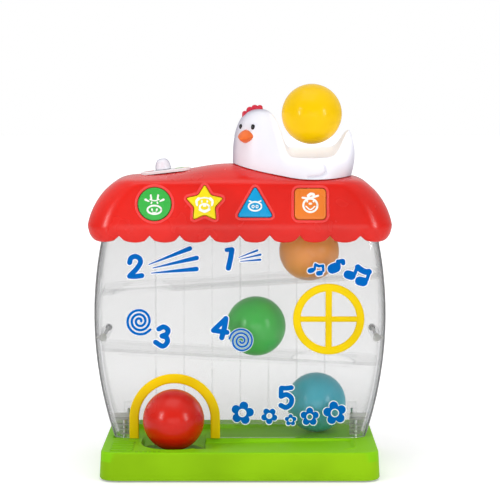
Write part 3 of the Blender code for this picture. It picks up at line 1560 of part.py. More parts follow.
def hen(white, crimson, orange, black):
    build("hen_body", hen_solid(0.0, True), white)
    cutter = hen_solid(GAP, False)
    beak = build("hen_beak", face_solid(FACE_TURN, BEAK_Z, *BEAK_SIZES, 14), orange)
    combine(beak, cutter, "DIFFERENCE", "seat")
    for name, side in (("hen_eye_left", 1), ("hen_eye_right", -1)):
        solid = face_solid(FACE_TURN + side * EYE_TURN, EYE_Z, *EYE_SIZES, 10)
        eye = build(name, solid, black)
        combine(eye, cutter, "DIFFERENCE", "seat")
    turn = math.radians(COMB_TURN)
    ahead = Vector((-math.sin(turn), -math.cos(turn), 0.0))
    side = Vector((0, 0, 1)).cross(ahead)
    frame = Matrix((ahead, Vector((0, 0, 1)), -side)).transposed().to_4x4()
    comb = None
    for index, (forward, size) in enumerate(COMB_LOBES):
        spot = Vector((HEAD_X, HOUSING_Y, 0.0)) + ahead * forward
        spot.z = hen_height(spot.x, spot.y) + size * 0.3
        half = COMB_THICKNESS / 2 * (1 - COMB_TAPER * index)
        lobe = moved(
            prism(circle(size, 14), upright, -half, half),
            Matrix.Translation(spot) @ frame,
        )
        if comb is None:
            comb = build("hen_comb", lobe, crimson)
        else:
            combine(comb, lobe, "UNION", "lobe_" + str(index))
    combine(comb, cutter, "DIFFERENCE", "seat")


# Sound and power in the back of the roof


def speaker_holes():
    return [(0.0, 0.0)] + circle(GRILLE_RADIUS, 8)


def speaker(material):
    front = -wall_through() - GAP
    back = front - SPEAKER_DEPTH
    profile = [
        (SPEAKER_RADIUS * 0.6, back),
        (SPEAKER_RADIUS * 0.6, back + 3 * MM),
        (SPEAKER_RADIUS, front - 2.5 * MM),
        (SPEAKER_RADIUS, front),
        (SPEAKER_RADIUS * 0.86, front),
        (SPEAKER_RADIUS * 0.4, front - 2 * MM),
    ]
    return build("speaker", moved(turned(profile, 18), back_frame(SPEAKER_X, BUTTON_Z)), material)


def battery_frame():
    return back_frame(BATTERY_X, BATTERY_DOOR_Z)


def battery_sizes():
    """Half length, half height and depth of the room for the two cells."""
    return CELL_LENGTH / 2 + 1.5 * MM, CELL_RADIUS * 2 + 2 * GAP, CELL_RADIUS * 2 + 1 * MM


def battery_box(material):
    half, tall, deep = battery_sizes()
    mouth = -wall_through() - GAP
    wall = BATTERY_WALL

    def plan(half_u, half_v):
        return [(-half_u, -half_v), (half_u, -half_v), (half_u, half_v), (-half_u, half_v)]

    outer = prism(plan(half + wall, tall + wall), upright, mouth - deep - wall, mouth)
    tray = build("battery_box", moved(outer, battery_frame()), material)
    boss = prism(circle(4.4 * MM, 16, door_screw_place(), 0.0), upright, mouth - 8 * MM, mouth)
    combine(tray, moved(boss, battery_frame()), "UNION", "boss")
    inner = prism(plan(half, tall), upright, mouth - deep, mouth + 3 * MM)
    bore = prism(circle(3.1 * MM, 16, door_screw_place(), 0.0), upright, mouth - 7 * MM, mouth + 3 * MM)
    combine(tray, moved(joined(inner, bore), battery_frame()), "DIFFERENCE", "room")
    return tray


def door_screw_place():
    return CELL_LENGTH / 2 + 1.5 * MM + BATTERY_WALL + 3.4 * MM


def battery_cells(material):
    mouth = -wall_through() - GAP
    for side, name in ((-1, "lower"), (1, "upper")):
        centre = (0.0, side * (CELL_RADIUS + GAP / 2), mouth - CELL_RADIUS - 0.7 * MM)
        half = CELL_LENGTH / 2
        profile = [
            (CELL_RADIUS, -half),
            (CELL_RADIUS, half - 1 * MM),
            (2 * MM, half - 1 * MM),
            (2 * MM, half),
        ]
        turn = Matrix.Rotation(math.radians(side * 90), 4, "Y")
        cell = moved(turned(profile, 16), battery_frame() @ Matrix.Translation(centre) @ turn)
        build("battery_cell_" + name, cell, material)


def battery_bridge(material):
    """The plate that joins the two cells at one end of their box."""
    half, tall, _deep = battery_sizes()
    mouth = -wall_through() - GAP
    low = (half - GAP - 0.6 * MM, -tall + 1 * MM, mouth - 9 * MM)
    plate = box(low, (half - GAP, tall - 1 * MM, mouth - 2 * MM))
    return build("battery_bridge", moved(plate, battery_frame()), material)


def battery_door(material):
    """A flush door that swings about the outer edge of its foot."""
    outline = rounded_rectangle(BATTERY_DOOR_HALF_WIDTH, BATTERY_DOOR_HALF_HEIGHT, 2 * MM, 3)
    frame = battery_frame()
    pivot = frame @ Vector((0.0, -BATTERY_DOOR_HALF_HEIGHT, 0.0))
    door = build(
        "battery_door", moved(prism(outline, upright, -BATTERY_DOOR_THICKNESS, 0.0), frame), material, pivot
    )
    hole = prism(circle(SCREW_RADIUS + SCREW_ROOM, 12, door_screw_place(), 0.0), upright, -5 * MM, 2 * MM)
    combine(door, moved(hole, frame), "DIFFERENCE", "screw_hole")
    return door


def battery_door_screw(material):
    frame = battery_frame()
    screw = screw_solid((door_screw_place(), 0.0, GAP), BATTERY_DOOR_THICKNESS + 5 * MM, (0, 0, -1))
    pivot = frame @ Vector((0.0, -BATTERY_DOOR_HALF_HEIGHT, 0.0))
    return build("battery_door_screw", moved(screw, frame), material, pivot)


def main():
    clear_scene()
    green = finish("green_plastic", (140, 198, 30), 0.3)
    dark = finish("grey_plastic", (92, 96, 100), 0.5)
    rubber = finish("grey_rubber", (70, 70, 72), 0.8)
    steel = finish("screw_steel", (170, 172, 175), 0.3, 1.0)
    clear = finish("clear_plastic", (238, 242, 244), 0.06, alpha=0.2)
    yellow = finish("yellow_plastic", (255, 212, 0), 0.3)
    red = finish("red_plastic", (225, 48, 28), 0.28)
    white = finish("white_plastic", (240, 240, 244), 0.35)
    crimson = finish("crimson_plastic", (215, 40, 70), 0.4)
    orange = finish("orange_plastic", (240, 125, 40), 0.3)
    black = finish("black_plastic", (20, 20, 22), 0.2)
    leaf = finish("leaf_green_plastic", (50, 170, 60), 0.3)
    blue = finish("blue_plastic", (20, 150, 215), 0.3)
    board_green = finish("board_green", (20, 90, 50), 0.5)
    base_tray(green)
    base_cover(dark)
    rubber_feet(rubber)
    base_screws(steel)
    housing_front(clear)
    housing_back(clear)
    housing_screws(steel)
    door_arch(yellow)
    window_frame(yellow)
    trough("ramp_upper", UPPER, clear)
    trough("ramp_middle", MIDDLE, clear)
    roof_front(red)
    roof_back(red)
    roof_floor(white)
    roof_screws(steel)
    for name, material in zip(BUTTONS, (leaf, yellow, blue, orange)):
        button(name, BUTTONS[name], material)
    rubber_keypad(rubber)
    circuit_board(board_green)
    board_screws(steel)
    ball_chute(white)
    trigger_lever(dark)
    trigger_pin(steel)
    trigger_switch(black)
    switch_plate(white)
    switch_knob(white)
    slide_switch(black)
    hen(white, crimson, orange, black)
    speaker(black)
    battery_box(dark)
    battery_cells(steel)
    battery_bridge(steel)
    battery_door(red)
    battery_door_screw(steel)
    balls(
        {
            "ball_yellow": yellow,
            "ball_orange": orange,
            "ball_green": leaf,
            "ball_blue": blue,
            "ball_red": red,
        }
    )


main()
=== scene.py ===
"""Toddler's ball-run barn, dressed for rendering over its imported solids.

Each sub-assembly is a class with its sizes as fields. Its surfaces are worked out as whole arrays, in metres,
with +Z up and the ball door at -Y, so that every piece lies where the solids lie.
"""

from __future__ import annotations

import json
import logging
import math
from dataclasses import dataclass, field
from enum import Enum
from typing import Any

import bmesh
import bpy
import numpy as np
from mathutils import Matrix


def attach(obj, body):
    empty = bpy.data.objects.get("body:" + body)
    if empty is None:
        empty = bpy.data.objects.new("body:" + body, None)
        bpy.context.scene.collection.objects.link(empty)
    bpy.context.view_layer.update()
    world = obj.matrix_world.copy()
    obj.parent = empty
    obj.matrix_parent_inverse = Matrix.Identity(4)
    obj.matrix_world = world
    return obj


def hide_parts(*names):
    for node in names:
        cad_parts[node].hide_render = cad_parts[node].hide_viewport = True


LOG = logging.getLogger("toy_barn")
Array = np.ndarray
Outline = Array
Point = tuple[float, float]
Colour = tuple[float, float, float]
Patch = tuple[Array, list[tuple[int, ...]]]

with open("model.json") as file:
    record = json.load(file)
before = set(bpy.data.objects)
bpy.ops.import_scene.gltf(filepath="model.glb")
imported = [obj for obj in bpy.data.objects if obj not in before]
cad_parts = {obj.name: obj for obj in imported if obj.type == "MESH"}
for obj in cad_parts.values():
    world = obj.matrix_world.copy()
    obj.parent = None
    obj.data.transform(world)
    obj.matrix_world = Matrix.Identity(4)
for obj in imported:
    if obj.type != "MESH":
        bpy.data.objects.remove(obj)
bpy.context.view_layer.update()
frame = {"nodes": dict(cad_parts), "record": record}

# The toy's main sizes, as in its solids

MM = 0.001
GAP = 0.3 * MM
HOUSING_Y = 18.5 * MM
DISH_Y = -31.5 * MM
WALL_FRONT = -11.5 * MM
DOOR_X = -54 * MM
DOOR_ARCH_Z = 40.6 * MM
BUTTON_Z = 219.5 * MM
CHUTE_X = 59.6 * MM
BALL_RADIUS = 25 * MM
LEAN = math.radians(10)
SIDE_SCREW_X = 113 * MM
SIDE_SCREW_Z = 108 * MM
ROOF_SCREW_X = 100 * MM
ROOF_SCREW_Z = 212 * MM
BATTERY_X = -14 * MM
BATTERY_Z = 221 * MM
SPEAKER_X = -76 * MM
SWITCH_X = -61.3 * MM
SWITCH_DEEP = -8 * MM
SWITCH_HALF = (20.7 * MM, 9 * MM)
SWITCH_SLOT = (6.3 * MM, 2.3 * MM, 2.2 * MM)
ALONG, DEEP, UP = np.eye(3)

# The camera, from the picture

EYE = (8.3 * MM, -1381.5 * MM, 315 * MM)
PITCH = math.radians(5.6)
LENS = 120.96
SENSOR = 36.0
VIEW = 500


def mm(*values: Any) -> Array:
    """Turn millimetres into metres."""
    return np.array(values, float) * MM


def rise(t: Any) -> Array:
    """Smooth step 3t²-2t³ of a share kept between 0 and 1."""
    share = np.clip(t, 0, 1)
    return share * share * (3 - 2 * share)


def around(steps: int) -> Array:
    """Angles of so many equal steps round a full turn."""
    return np.linspace(0, 2 * math.pi, steps, endpoint=False)


def linear(red: int, green: int, blue: int) -> Colour:
    """Turn a display colour into the linear values that shaders use.

    Args:
        red: its red, 0 to 255.
        green: its green.
        blue: its blue.

    Returns:
        The linear values.
    """
    values = np.array((red, green, blue)) / 255
    low = values / 12.92
    high = ((values + 0.055) / 1.055) ** 2.4
    return tuple(float(v) for v in np.where(values <= 0.04045, low, high))


# Shader expressions


class Value:
    """A number socket that can be used in an expression; each operator adds its Math node."""

    def __init__(self, recipe: Recipe, socket: Any) -> None:
        """Wrap a socket of a recipe's tree."""
        self.recipe = recipe
        self.socket = socket

    def apply(self, operation: str, *others: Any) -> Value:
        """Add a Math node on this value.

        Args:
            operation: name of the Math operation.
            others: the other inputs, values or numbers.

        Returns:
            The node's result.
        """
        inputs = dict(enumerate((self, *others)))
        return self.recipe.node("ShaderNodeMath", {"operation": operation}, inputs)

    def __add__(self, other: Any) -> Value:
        """Sum."""
        return self.apply("ADD", other)

    __radd__ = __add__

    def __mul__(self, other: Any) -> Value:
        """Product."""
        return self.apply("MULTIPLY", other)

    __rmul__ = __mul__

    def __sub__(self, other: Any) -> Value:
        """Difference."""
        return self.apply("SUBTRACT", other)

    def __rsub__(self, other: float) -> Value:
        """Difference from a number."""
        return (self * -1.0) + other

    def __truediv__(self, other: float) -> Value:
        """Share."""
        return self.apply("DIVIDE", other)

    def __pow__(self, other: float) -> Value:
        """Power."""
        return self.apply("POWER", other)

    def step(self, low: float, high: float, start: float = 0.0, stop: float = 1.0) -> Value:
        """Change smoothly between two values; a falling step has low above high.

        Args:
            low: where the step begins.
            high: where it ends.
            start: the result before it.
            stop: the result after it.

        Returns:
            The stepped value.
        """
        ends = (high, low, stop, start) if low > high else (low, high, start, stop)
        settings = {"interpolation_type": "SMOOTHSTEP"}
        return self.recipe.node("ShaderNodeMapRange", settings, dict(enumerate((self, *ends))))

    def within(self, low: float, high: float, soft: float) -> Value:
        """1 between two values and 0 outside, over a soft edge that lies inside them."""
        return self.step(low, low + soft) * self.step(high, high - soft)

    def wave(self, crest: float, pitch: float) -> Value:
        """A cosine wave with one crest at a place and so many metres from crest to crest."""
        return ((self - crest) * (2 * math.pi / pitch) + math.pi / 2).sine()

    def sine(self) -> Value:
        """Sine of the value in radians."""
        return self.apply("SINE")

    def size(self) -> Value:
        """Absolute value."""
        return self.apply("ABSOLUTE")

    def clipped(self) -> Value:
        """Kept between 0 and 1."""
        return self.apply("MAXIMUM", 0.0).apply("MINIMUM", 1.0)


class Recipe:
    """The node tree of a material or of the world, with a single method that adds any node."""

    def __init__(self, name: str, kind: str = "Material") -> None:
        """Start an empty tree with its output.

        Args:
            name: the name of what the tree belongs to.
            kind: what it belongs to, Material or World.
        """
        self.owner = {"Material": bpy.data.materials, "World": bpy.data.worlds}[kind].new(name)
        self.owner.use_nodes = True
        self.tree = self.owner.node_tree
        self.tree.nodes.clear()
        self.out = self.tree.nodes.new("ShaderNodeOutput" + kind)
        self._place: Any = None

    def node(self, kind: str, settings: dict[str, Any], inputs: dict[Any, Any], output: Any = 0) -> Value:
        """Add a node.

        Args:
            kind: the node's type.
            settings: its own settings, set before its sockets.
            inputs: values or links by socket name or number.
            output: the output wanted.

        Returns:
            The output, wrapped.
        """
        made = self.tree.nodes.new(kind)
        for key, setting in settings.items():
            setattr(made, key, setting)
        for key, given in inputs.items():
            if isinstance(given, Value):
                self.tree.links.new(given.socket, made.inputs[key])
            else:
                made.inputs[key].default_value = given
        return Value(self, made.outputs[output])

    def place(self) -> Value:
        """Object coordinates, which are the model's own metres."""
        self._place = self._place or self.node("ShaderNodeTexCoord", {}, {}, "Object")
        return self._place

    def axes(self) -> list[Value]:
        """The three coordinates of a point."""
        split = self.node("ShaderNodeSeparateXYZ", {}, {0: self.place()})
        return [Value(self, output) for output in split.socket.node.outputs]

    def noise(
        self, scale: float, detail: float = 2.0, stretch: tuple[float, float, float] = (1, 1, 1)
    ) -> Value:
        """Noise with so many cells a metre, 0 to 1, drawn out along any axis by a stretch below 1."""
        mapped = self.node("ShaderNodeMapping", {}, {"Vector": self.place(), "Scale": stretch})
        return self.node("ShaderNodeTexNoise", {}, {"Vector": mapped, "Scale": scale, "Detail": detail})

    def mix(self, share: Any, first: Any, second: Any) -> Value:
        """Blend two colours by a share."""
        colours = [(*c, 1.0) if isinstance(c, tuple) else c for c in (first, second)]
        return self.node("ShaderNodeMix", {"data_type": "RGBA"}, {0: share, 6: colours[0], 7: colours[1]}, 2)

    def bump(self, height: Value, depth: float) -> Value:
        """A normal from a height of 0 to 1 that stands for so many metres."""
        return self.node("ShaderNodeBump", {}, {"Height": height, "Distance": depth, "Strength": 1.0})

    def principled(self, sockets: dict[str, Any]) -> Value:
        """Add a Principled shader."""
        return self.node("ShaderNodeBsdfPrincipled", {}, sockets)

    def show(self, shader: Value) -> None:
        """Join a shader to the output."""
        self.tree.links.new(shader.socket, self.out.inputs["Surface"])


def distance(first: Value, second: Value) -> Value:
    """Length of a line with two square offsets."""
    return (first * first + second * second) ** 0.5


@dataclass(frozen=True)
class Finish:
    """A named finish: each kind says what its shader's sockets take."""

    name: str

    def sockets(self, recipe: Recipe) -> dict[str, Any]:
        """What each socket of the Principled shader takes."""
        raise NotImplementedError(self.name)

    def shader(self, recipe: Recipe) -> Value:
        """The shader that the output shows."""
        return recipe.principled(self.sockets(recipe))

    def make(self) -> Any:
        """Build the material.

        Returns:
            The Blender material.
        """
        recipe = Recipe(self.name)
        recipe.show(self.shader(recipe))
        return recipe.owner


@dataclass(frozen=True)
class MouldedPlastic(Finish):
    """Moulded toy plastic: uneven in tint, with a fine skin and a softer gloss where it is handled."""

    colour: Colour
    roughness: float = 0.3
    tint: float = 0.06
    skin: float = 0.03
    coat: float = 0.05
    gloss: float = 0.3

    def sockets(self, recipe: Recipe) -> dict[str, Any]:
        """Broad tint, fine skin and drawn-out patches of wear, all from noise.

        Args:
            recipe: the material's tree.

        Returns:
            What each socket takes.
        """
        broad = recipe.noise(14.0, 3.0)
        fine = recipe.noise(900.0)
        handled = recipe.noise(60.0, 2.0, (1, 0.3, 1)).step(0.55, 0.75)
        deep = tuple(c * (1 - self.tint * 2.5) for c in self.colour)
        pale = tuple(min(1.0, c * (1 + self.tint) + self.tint * 0.02) for c in self.colour)
        return {
            "Base Color": recipe.mix(broad.step(0.3, 0.7), deep, pale),
            "Roughness": broad * 0.08 + (self.roughness - 0.04) + handled * 0.05,
            "Normal": recipe.bump(fine, self.skin * MM),
            "Coat Weight": self.coat,
            "Coat Roughness": 0.12,
            "Specular IOR Level": self.gloss,
            "IOR": 1.5,
        }


@dataclass(frozen=True)
class PaintedLightWhite(MouldedPlastic):
    """White plastic with painted light: painted shade where it turns from the view, and a painted glow inside
    the hollow bowl.
    """

    # Painted glow: strength of the emission inside the bowl
    glow: float = 0.42
    # Painted shade: the tint that faces turning from the view take
    turned_shade: Colour = linear(152, 152, 176)
    # Radii and heights that bound the painted glow in the bowl
    bowl: tuple[float, float] = (34 * MM, 41 * MM)
    bowl_foot: tuple[float, float] = (238 * MM, 262 * MM)

    def sockets(self, recipe: Recipe) -> dict[str, Any]:
        """Moulded plastic with painted shade where it turns away, and a painted glow inside the bowl.

        Args:
            recipe: the material's tree.

        Returns:
            What each socket takes.
        """
        made = super().sockets(recipe)
        facing = recipe.node("ShaderNodeLayerWeight", {}, {"Blend": 0.5}, "Facing")
        # Painted shade: faces that turn from the view darken towards lavender grey
        made["Base Color"] = recipe.mix(facing.step(0.2, 0.95) * 0.75, made["Base Color"], self.turned_shade)
        # Painted glow: emission that lights the inside of the bowl
        across, deep, up = recipe.axes()
        away = distance(across - CHUTE_X, deep - HOUSING_Y)
        inside = away.step(*self.bowl[::-1]) * up.step(*self.bowl_foot)
        made["Emission Color"] = recipe.mix(inside, (0.0, 0.0, 0.0), (self.glow,) * 3)
        made["Emission Strength"] = 1.0
        return made


@dataclass(frozen=True)
class BaseGreen(MouldedPlastic):
    """The base's green, with painted light and shade: a greener tint on its flat top for the light it gets,
    painted shade in the grooves of the mats, and a painted shadow down in the dish.
    """

    # Painted light: the flat top takes a greener, less red copy of the green than the sides
    flat: Colour = (0.235, 0.63, 0.006)
    # Painted shade in the grooves of the ribbed mats
    groove: Colour = (0.05, 0.17, 0.003)
    # Painted shadow in the dish, round the ball's place
    shaded: Colour = (0.012, 0.03, 0.001)
    flat_half: float = 111 * MM
    flat_front: float = -67.5 * MM
    # Reach of the painted shadow in the dish
    hollow: float = 26 * MM

    def sockets(self, recipe: Recipe) -> dict[str, Any]:
        """Moulded plastic with three painted tints of light and shade, each kept to its place by steps along
        the axes.

        Args:
            recipe: the material's tree.

        Returns:
            What each socket takes.
        """
        made = super().sockets(recipe)
        across, deep, up = recipe.axes()
        # Painted shade: mask of the ribbed mats' grooves
        grooves = DOOR_MAT.grooves(across, deep, deep) + FRONT_STRIP.grooves(across, deep, across)
        # Painted light: mask of the flat top, tinted apart from the front and sides
        flat = up.step(15 * MM, 17 * MM) * deep.step(self.flat_front, self.flat_front + 1 * MM)
        flat = flat * across.size().step(self.flat_half, self.flat_half - 1 * MM)
        # Painted shadow: mask of the dish's floor near the ball
        beside = distance(across - (DOOR_X - 1 * MM), deep - (DISH_Y - 0.5 * MM))
        hollow = up.step(24 * MM, 22.4 * MM) * up.step(11 * MM, 14 * MM)
        hollow = hollow * beside.step(self.hollow, self.hollow - 2 * MM)
        light = recipe.mix(flat * 0.8, made["Base Color"], self.flat)
        dark = recipe.mix(grooves * 0.36, light, self.groove)
        made["Base Color"] = recipe.mix(hollow * 0.5, dark, self.shaded)
        return made


@dataclass(frozen=True)
class ClearPlastic(Finish):
    """Clear moulded plastic: a faint veil face on, with painted shade where it turns away, under a clean
    gloss.
    """

    haze: float = 0.03
    edge: float = 0.5
    colour: Colour = (0.72, 0.72, 0.73)
    # Veil colour where the wall is seen edge-on: painted light and shade at the silhouette
    rim: Colour = (0.35, 0.35, 0.36)
    gloss: float = 0.5
    wave: float = 0.12

    def shader(self, recipe: Recipe) -> Value:
        """Mix a thin veil and a mirror by the view's angle.

        Args:
            recipe: the material's tree.

        Returns:
            The mixed shader.
        """
        facing = recipe.node("ShaderNodeLayerWeight", {}, {"Blend": 0.5}, "Facing")
        fresnel = recipe.node("ShaderNodeLayerWeight", {}, {"Blend": 0.3}, "Fresnel")
        flow = recipe.noise(30.0, 2.0, (0.25, 1, 1))
        normal = recipe.bump(flow, self.wave * MM)
        veil = {
            # Painted shade: the veil turns to the rim colour where the wall is seen edge-on
            "Base Color": recipe.mix(facing.step(0.93, 1.0), self.colour, self.rim),
            "Roughness": flow * 0.1 + 0.3,
            "Alpha": (facing**3.0 * (flow * 0.1 + self.edge) + self.haze).clipped(),
            "Normal": normal,
            "IOR": 1.0,
        }
        mirror = {
            "Base Color": (0.9, 0.9, 0.92, 1.0),
            "Metallic": 1.0,
            "Roughness": flow * 0.03 + 0.05,
            "Normal": normal,
        }
        shaders = {0: fresnel * self.gloss, 1: recipe.principled(veil), 2: recipe.principled(mirror)}
        return recipe.node("ShaderNodeMixShader", {}, shaders)


@dataclass(frozen=True)
class Print(Finish):
    """Ink on plastic: nearly flat, with a slightly uneven cover."""

    colour: Colour
    uneven: float = 0.08

    def sockets(self, recipe: Recipe) -> dict[str, Any]:
        """One fine noise for tint, gloss and relief.

        Args:
            recipe: the material's tree.

        Returns:
            What each socket takes.
        """
        grain = recipe.noise(700.0, 3.0)
        deep = tuple(c * (1 - self.uneven * 2) for c in self.colour)
        return {
            "Base Color": recipe.mix(grain, deep, self.colour),
            "Roughness": grain * 0.1 + 0.45,
            "Normal": recipe.bump(grain, 0.01 * MM),
            "Specular IOR Level": 0.03,
        }


@dataclass(frozen=True)
class Metal(Finish):
    """Plated steel with fine turning marks and dulled places."""

    colour: Colour = (0.6, 0.6, 0.62)
    roughness: float = 0.28

    def sockets(self, recipe: Recipe) -> dict[str, Any]:
        """Patches of dulled plating under drawn-out marks.

        Args:
            recipe: the material's tree.

        Returns:
            What each socket takes.
        """
        dull = recipe.noise(120.0, 3.0)
        marks = recipe.noise(1500.0, 1.0, (1, 0.1, 1))
        darker = tuple(c * 0.75 for c in self.colour)
        return {
            "Base Color": recipe.mix(dull, darker, self.colour),
            "Metallic": 1.0,
            "Roughness": dull * 0.15 + self.roughness - 0.05,
            "Normal": recipe.bump(marks, 0.01 * MM),
        }


@dataclass(frozen=True)
class Rubber(Finish):
    """Soft rubber with a matt, dusty skin."""

    colour: Colour

    def sockets(self, recipe: Recipe) -> dict[str, Any]:
        """Patches of pale dust on a fine grain.

        Args:
            recipe: the material's tree.

        Returns:
            What each socket takes.
        """
        dust = recipe.noise(90.0, 4.0)
        pale = tuple(c * 1.5 + 0.01 for c in self.colour)
        return {
            "Base Color": recipe.mix(dust.step(0.45, 0.7), self.colour, pale),
            "Roughness": dust * 0.15 + 0.7,
            "Normal": recipe.bump(recipe.noise(1400.0), 0.03 * MM),
        }


@dataclass(frozen=True)
class CircuitGreen(Finish):
    """Lacquered board with paler copper tracks under the lacquer."""

    lacquer: Colour = (0.01, 0.1, 0.04)
    track: Colour = (0.03, 0.2, 0.07)

    def sockets(self, recipe: Recipe) -> dict[str, Any]:
        """Tracks where the product of two sine waves is high.

        Args:
            recipe: the material's tree.

        Returns:
            What each socket takes.
        """
        across, _deep, up = recipe.axes()
        tracks = ((across * 900.0).sine() * (up * 1300.0).sine()).step(0.1, 0.25)
        return {
            "Base Color": recipe.mix(tracks, self.lacquer, self.track),
            "Roughness": tracks * 0.1 + 0.3,
            "Normal": recipe.bump(tracks, 0.03 * MM),
        }


@dataclass(frozen=True)
class SwitchPrint(Finish):
    """White plate with print inside its rim: green and yellow at the right end, red at the left."""

    centre: tuple[float, float]
    half: tuple[float, float]
    white: tuple[Colour, Colour] = ((0.84, 0.83, 0.85), (0.9, 0.9, 0.9))
    red: Colour = linear(205, 60, 70)
    green: Colour = linear(128, 176, 70)
    yellow: Colour = linear(244, 205, 110)

    def sockets(self, recipe: Recipe) -> dict[str, Any]:
        """Bands of colour by the share of the plate's half length, within an ellipse.

        Args:
            recipe: the material's tree.

        Returns:
            What each socket takes.
        """
        across, deep, _up = recipe.axes()
        along = (across - self.centre[0]) / self.half[0]
        beside = (deep - self.centre[1]) / self.half[1]
        inside = (along * along + beside * beside).step(0.88, 0.8)
        grain = recipe.noise(500.0)
        colour = recipe.mix(grain, *self.white)
        for low, high, ink in ((-0.46, -0.52, self.red), (0.36, 0.4, self.green), (0.66, 0.74, self.yellow)):
            colour = recipe.mix(along.step(low, high) * inside, colour, ink)
        return {
            "Base Color": colour,
            "Roughness": grain * 0.1 + 0.45,
            "Specular IOR Level": 0.1,
            "Normal": recipe.bump(grain, 0.01 * MM),
        }


@dataclass(frozen=True)
class RibbedPatch:
    """Straight ribs on the base, in millimetres: their spans, one rib's crest, their pitch and height.

    The shade spans are where the grooves are darkened with painted shade, each with the width of its soft
    edge.
    """

    x: tuple[float, float]
    y: tuple[float, float]
    crest: float
    pitch: float
    height: float
    shade_x: tuple[float, float, float]
    shade_y: tuple[float, float, float]

    def relief(self, x: Array, y: Array, across_ribs: Array) -> Array:
        """Height of the ribs: a cosine wave cut off flat, kept to the patch by smooth steps.

        Args:
            x: places across the base, in metres.
            y: places along its depth.
            across_ribs: the one of the two that runs across the ribs.

        Returns:
            The height at each place, in metres.
        """
        wave = np.cos(2 * math.pi * (across_ribs - self.crest * MM) / (self.pitch * MM))
        (left, right), (front, back) = self.x, self.y
        made = self.height * MM * rise((0.5 + 0.9 * wave) / 0.7)
        for inside in (x - left * MM, right * MM - x, y - front * MM, back * MM - y):
            made = made * rise(inside / MM)
        return made

    def grooves(self, across: Value, deep: Value, across_ribs: Value) -> Value:
        """Where the same wave is low, within the shade spans: the mask of the painted groove shade.

        Args:
            across: the coordinate across the base.
            deep: the coordinate along its depth.
            across_ribs: the one of the two that runs across the ribs.

        Returns:
            1 in the grooves and 0 outside.
        """
        low = across_ribs.wave(self.crest * MM, self.pitch * MM).step(0.5, 0.0)
        return low * across.within(*mm(*self.shade_x)) * deep.within(*mm(*self.shade_y))


DOOR_MAT = RibbedPatch((-104, -85.4), (-61.5, -24.5), -59.2, 6.4, 0.9, (-104.8, -84.8, 0.8), (-62.5, -24, 1))
FRONT_STRIP = RibbedPatch((-84, -62), (-65.4, -61.6), -84, 3.6, 0.5, (-84, -62, 1), (-65.6, -61.6, 0.6))


